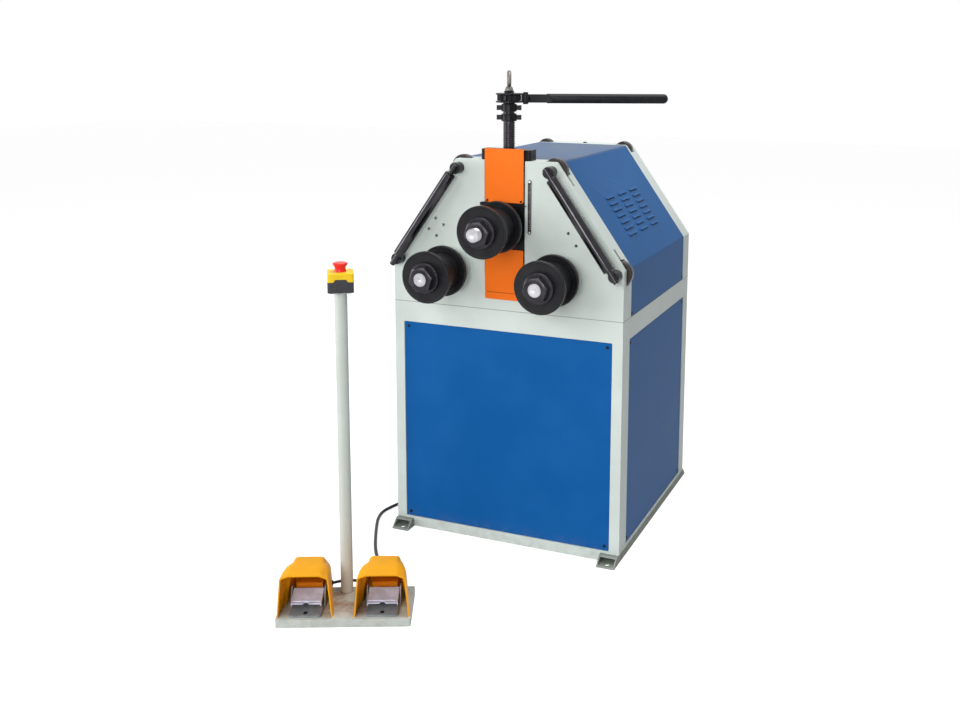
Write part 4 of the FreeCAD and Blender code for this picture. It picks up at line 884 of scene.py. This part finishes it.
button = {  # "overLid" is the profile in millimetres over the lid of the box
    "overLid": [(0.5, 14), (6.5, 12.3), (12, 13.6), (17, 17.4), (19.5, 17.4), (21.4, 15), (20.8, 6),
                (20.6, 0)],
    "stem": 14, "soft": 1.4,
}
low, high = boxOf("stop_button")
lidTop = (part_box("stop_box_lid")[1].z - low[2]) / mm
profile = [(0, 0), (0, button["stem"])] + [(lidTop + up, radius) for up, radius in button["overLid"]]
mushroom = turned(profile, ((low[0] + high[0]) / 2, (low[1] + high[1]) / 2, low[2]), (0, 0, 1),
                  soft=button["soft"], count=80)
piece("mushroomButton", "button", skinMesh("button", [mushroom]), "redPlastic",
      ["stop_button"])
print("spindle, eye and button done")


# Hoods: sections drawn from the mouth to the tail, in millimetres on the stand

hood = {
    "across": (-90, 90), "wall": 3, "floor": 20, "rows": 72, "corner": (3, 9), "fullCorner": 62, "arc": 7,
    "y": (8, 46, 67, 80, 105, 150),
    "foot": (65.5, 64, 60, 57, 52, 47),
    "side": (56.5, 55.5, 52, 40, 38.5, 42),
    "roof": (37.5, 38, 38, 34, 33.5, 30),
    "sideHigh": (118.5, 119, 119, 118.5, 117, 84),
    "roofHigh": (125.5, 127.5, 127.5, 127.5, 127, 98),
}


def hoodSections(inset):
    # Half widths and heights read between the stations; each section's corners are leaned curves whose
    # radius grows from the mouth to its full size and never passes 0.48 of a side
    y = np.linspace(hood["y"][0], hood["y"][-1] - inset, hood["rows"])
    foot, side, roof, sideHigh, roofHigh = (np.interp(y, hood["y"], hood[name]) for name in
                                            ("foot", "side", "roof", "sideHigh", "roofHigh"))
    low = np.full_like(y, hood["floor"])
    right = [(foot - inset, low), (side - inset, sideHigh - inset), (roof - inset / 2, roofHigh - inset)]
    corners = np.array(right + [(-x, z) for x, z in reversed(right)])
    radius = np.interp(y, (hood["y"][0], hood["fullCorner"]), hood["corner"])
    t = np.linspace(0, 1, hood["arc"])[:, None, None]
    points = [corners[0][None]]
    for before, corner, after in zip(corners, corners[1:], corners[2:]):
        a, b = (corner + (end - corner) * np.minimum(radius / np.linalg.norm(end - corner, axis=0), 0.48)
                for end in (before, after))
        points.append(leaned(a, corner, b, t))
    points.append(corners[-1][None])
    line = np.concatenate(points)
    return np.stack([line[:, 0].T, np.repeat(y[:, None], len(line), 1), line[:, 1].T], -1)


def hoodSkins(x):
    # Outer and inner shell in one, the mouth's edge, the two walls that close the tail, and their foot
    outer, inner = hoodSections(0), hoodSections(hood["wall"])
    shell = np.concatenate([outer, inner[:, ::-1]], 1)
    walls = [np.stack([tail, tail * (1, 1, 0) + (0, 0, hood["floor"])]) for tail in (outer[-1], inner[-1])]
    foot = np.stack([walls[0][1], walls[1][1]])
    moved = [onStand(grid + (x, 0, 0)) for grid in (shell, np.stack([outer[0], inner[0]]), *walls, foot)]
    return [skin(moved[0])] + [skin(grid, ring=False) for grid in moved[1:]]


hoodSkin = [part for x in hood["across"] for part in hoodSkins(x)]
piece("pedalHoods", "root", skinMesh("hoods", hoodSkin), "hoodPlastic", ["pedal_hoods"])
print("hoods done")


# Screws and grommets

screws = {  # heads as radius, height and socket in millimetres, and their places in metres
    "panel": (4.3, 1.8, 3.2), "panelInset": 0.0123, "coverInset": 0.0075, "coverLift": 0.008,
    "ridge": (6.0, 3.2, 3.2), "ridgeY": 0.296,
    "slide": (3.2, 1.2, 2.0), "slideX": 0.048, "slideZ": 0.9485,
    "base": (5.0, 2.4, 3.4), "baseY": 22, "baseThick": 5.0,  # on the stand, in millimetres
    "scale": (3.2, 1.4, 2.0), "scaleInset": 0.005,
}

inset = screws["panelInset"]
heads = []
low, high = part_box("front_panel")
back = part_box("rear_panel")[1].y
for x in (low.x + inset, high.x - inset):
    for z in (low.z + inset, high.z - inset):
        heads.append(socketScrew((x, low.y, z), (0, -1, 0), *screws["panel"]))
        heads.append(socketScrew((x, back, z), (0, 1, 0), *screws["panel"]))
low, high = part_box("side_panels")
coverLow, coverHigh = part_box("upper_cover")
spots = [(high.x, y, z) for y in (low.y + inset, high.y - inset) for z in (low.z + inset, high.z - inset)]
spots += [(coverHigh.x, y, coverLow.z + screws["coverLift"])
          for y in (coverLow.y + screws["coverInset"], coverHigh.y - screws["coverInset"])]
for x, y, z in spots:
    heads.append(socketScrew((x, y, z), (1, 0, 0), *screws["panel"]))
    heads.append(socketScrew((-x, y, z), (-1, 0, 0), *screws["panel"]))
heads.append(socketScrew((0, screws["ridgeY"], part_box("rear_head")[1].z), (0, 0, 1), *screws["ridge"]))
piece("panelScrews", "root", skinMesh("panelScrews", heads), "screwSteel", ["panel_screws"])

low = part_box("slide_covers")[0]
heads = [socketScrew((x, low.y, screws["slideZ"]), (0, -1, 0), *screws["slide"])
         for x in (-screws["slideX"], screws["slideX"])]
piece("slideCoverScrews", body_of(frame["nodes"]["slide_covers"])[0], skinMesh("coverScrews", heads),
      "screwSteel")

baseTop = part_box("pedal_bases")[0].z / mm + screws["baseThick"]
heads = [socketScrew(onStand((x, screws["baseY"], baseTop)), (0, 0, 1), *screws["base"])
         for x in hood["across"]]
piece("pedalBaseScrews", "root", skinMesh("baseScrews", heads), "screwSteel")

standAcross, standBack = (onStand(way) - onStand((0, 0, 0)) for way in ((1000, 0, 0), (0, 1000, 0)))
grommet = {"at": (43.5, 145.8, 38), "middle": 5.0, "bar": 1.5, "count": 40}
x, y, z = grommet["at"]
rings = [ringBar(grommet["middle"], grommet["bar"], onStand((at, y, z)), standAcross, grommet["count"])
         for at in (-x, x)]
piece("hoodGrommets", "root", skinMesh("grommets", rings), "blackPlastic")


# Scale strip: two half circles joined by straight sides, carried from the plate to the face

strip = {"thick": 2.0, "side": 1.6, "edge": 0.0004, "steps": 14}

low, high = boxOf("depth_scale")
half = (high[0] - low[0]) / 2
turn = np.linspace(0, np.pi, strip["steps"])
arc = np.stack([np.cos(turn), np.sin(turn)], -1) * half
outline = np.vstack([arc + (0, high[2] - half), -arc + (0, low[2] + half)])
middle = np.array((0, (low[2] + high[2]) / 2)) + 0 * outline
face = outline - np.sign(outline - middle) * strip["edge"]
rows = [np.stack([flat[:, 0] + (low[0] + high[0]) / 2, 0 * flat[:, 0] + high[1] - y * mm, flat[:, 1]], -1)
        for flat, y in ((middle, 0), (outline, 0), (outline, strip["side"]), (face, strip["thick"]),
                        (middle, strip["thick"]))]
piece("scaleStrip", "root", skinMesh("scale", [skin(np.array(rows))]), "scaleStrip",
      ["depth_scale"])
ends = [socketScrew(((low[0] + high[0]) / 2, high[1] - strip["thick"] * mm, z), (0, -1, 0), *screws["scale"])
        for z in (low[2] + screws["scaleInset"], high[2] - screws["scaleInset"])]
piece("scaleScrews", "root", skinMesh("scaleScrews", ends), "brightSteel")


# Glands

glands = {  # "cap" holds the sleeve's foot, tip and length, "hole" its bore and depth
    "left": {"at": (-0.3285, 0.024, 0.044), "out": (-1, 0, 0), "flats": 19, "nut": 8, "cap": (9.5, 6.5, 16),
             "hole": (4.6, 2)},
    "rear": {"at": (-0.250, 0.3265, 0.060), "out": (0, 1, 0), "flats": 19, "nut": 8, "cap": (9.5, 6.5, 16),
             "hole": (4.5, 15)},
    "pedal": {"at": onStand((90, 150, 38)), "out": standBack, "flats": 17.3, "nut": 7, "cap": (9, 6, 13),
              "hole": (4.6, 2)},
}
ribbing = {"count": 16, "depth": 0.03}


def glandSkins(at, out, flats, nut, cap, hole):
    # Hexagon, then a cap that narrows to the cable; its ribbed part has the radius
    # r * (1 - depth * (1 - cos(count * angle)))
    foot, tip, length = cap
    bore, depth = hole
    end = nut + length
    angle = np.linspace(0, 2 * np.pi, 96, endpoint=False)
    profile = softened([(nut - 0.5, 0), (nut - 0.5, foot), (nut + 3, foot), (end - 3, tip + 0.4),
                        (end, tip - 0.3), (end, bore), (end - depth, bore - 0.4), (end - depth, 0)], 0.6)
    along, radius = profile[:, :1], profile[:, 1:]
    ribbed = (along > nut + 1) & (along < end - 3) & (radius > tip - 1)
    ribs = 1 - ribbing["depth"] * (1 - np.cos(ribbing["count"] * angle)) * ribbed
    sleeve = skin(around(along, radius * ribs, at, out, angle))
    return [hexNut(flats, nut, 0, at, out, back=True), sleeve]


glandSkin = [part for gland in glands.values() for part in glandSkins(**gland)]
piece("cableGlands", "root", skinMesh("glands", glandSkin), "blackPlastic", ["cable_glands"])
print("screws and glands done")


# Floor, backdrop and lamps

studio = {
    "reach": 14.0,
    "floor": 0.50,
    "floorGlow": 0.78,
    "sky": 0.18,
    "lamps": [
        {"name": "keyLamp", "at": (-1.6, -4.4, 2.8), "aim": (0, -0.3, 0.6), "size": (2.6, 2.0),
         "power": 70},
        {"name": "topLamp", "at": (0.6, 0.0, 3.8), "aim": (0, 0, 0.8), "size": (2.4, 2.4), "power": 100},
        {"name": "frontLamp", "at": (0.7, -4.3, 1.7), "aim": (0, 0, 0.8), "size": (1.2, 1.8), "power": 72},
        {"name": "leftLamp", "at": (-3.4, -2.0, 1.2), "aim": (0, 0, 0.8), "size": (1.1, 1.8), "power": 62},
    ],
}

reach = studio["reach"]
floorMesh = bpy.data.meshes.new("floor")
floorMesh.from_pydata([(-reach, -reach, 0), (reach, -reach, 0), (reach, reach, 0), (-reach, reach, 0)], [],
                      [(0, 1, 2, 3)])
floor = bpy.data.objects.new("floor", floorMesh)
bpy.context.collection.objects.link(floor)
floorPaint = newPaint("floorPaint", base_color=(studio["floor"],) * 3 + (1,), roughness=0.7,
                      emission_color=(1, 1, 1, 1))
floorPaint.set("Emission Strength", floorPaint.rays() * studio["floorGlow"])
floorMesh.materials.append(floorPaint.owner)

bpy.context.scene.view_settings.view_transform = "Standard"
world = bpy.data.worlds.new("studioWorld")
bpy.context.scene.world = world
sky = Paint(world, "Background", "OutputWorld", color=(1, 1, 1, 1))
sky.set("Strength", sky.rays() * (1 - studio["sky"]) + studio["sky"])

for lamp in studio["lamps"]:
    light = bpy.data.lights.new(lamp["name"], "AREA")
    light.shape = "RECTANGLE"
    light.size, light.size_y = lamp["size"]
    light.energy = lamp["power"]
    holder = bpy.data.objects.new(lamp["name"], light)
    bpy.context.collection.objects.link(holder)
    holder.location = lamp["at"]
    aim = Vector(lamp["aim"]) - Vector(lamp["at"])
    holder.rotation_euler = aim.to_track_quat("-Z", "Y").to_euler()
print("studio lit")
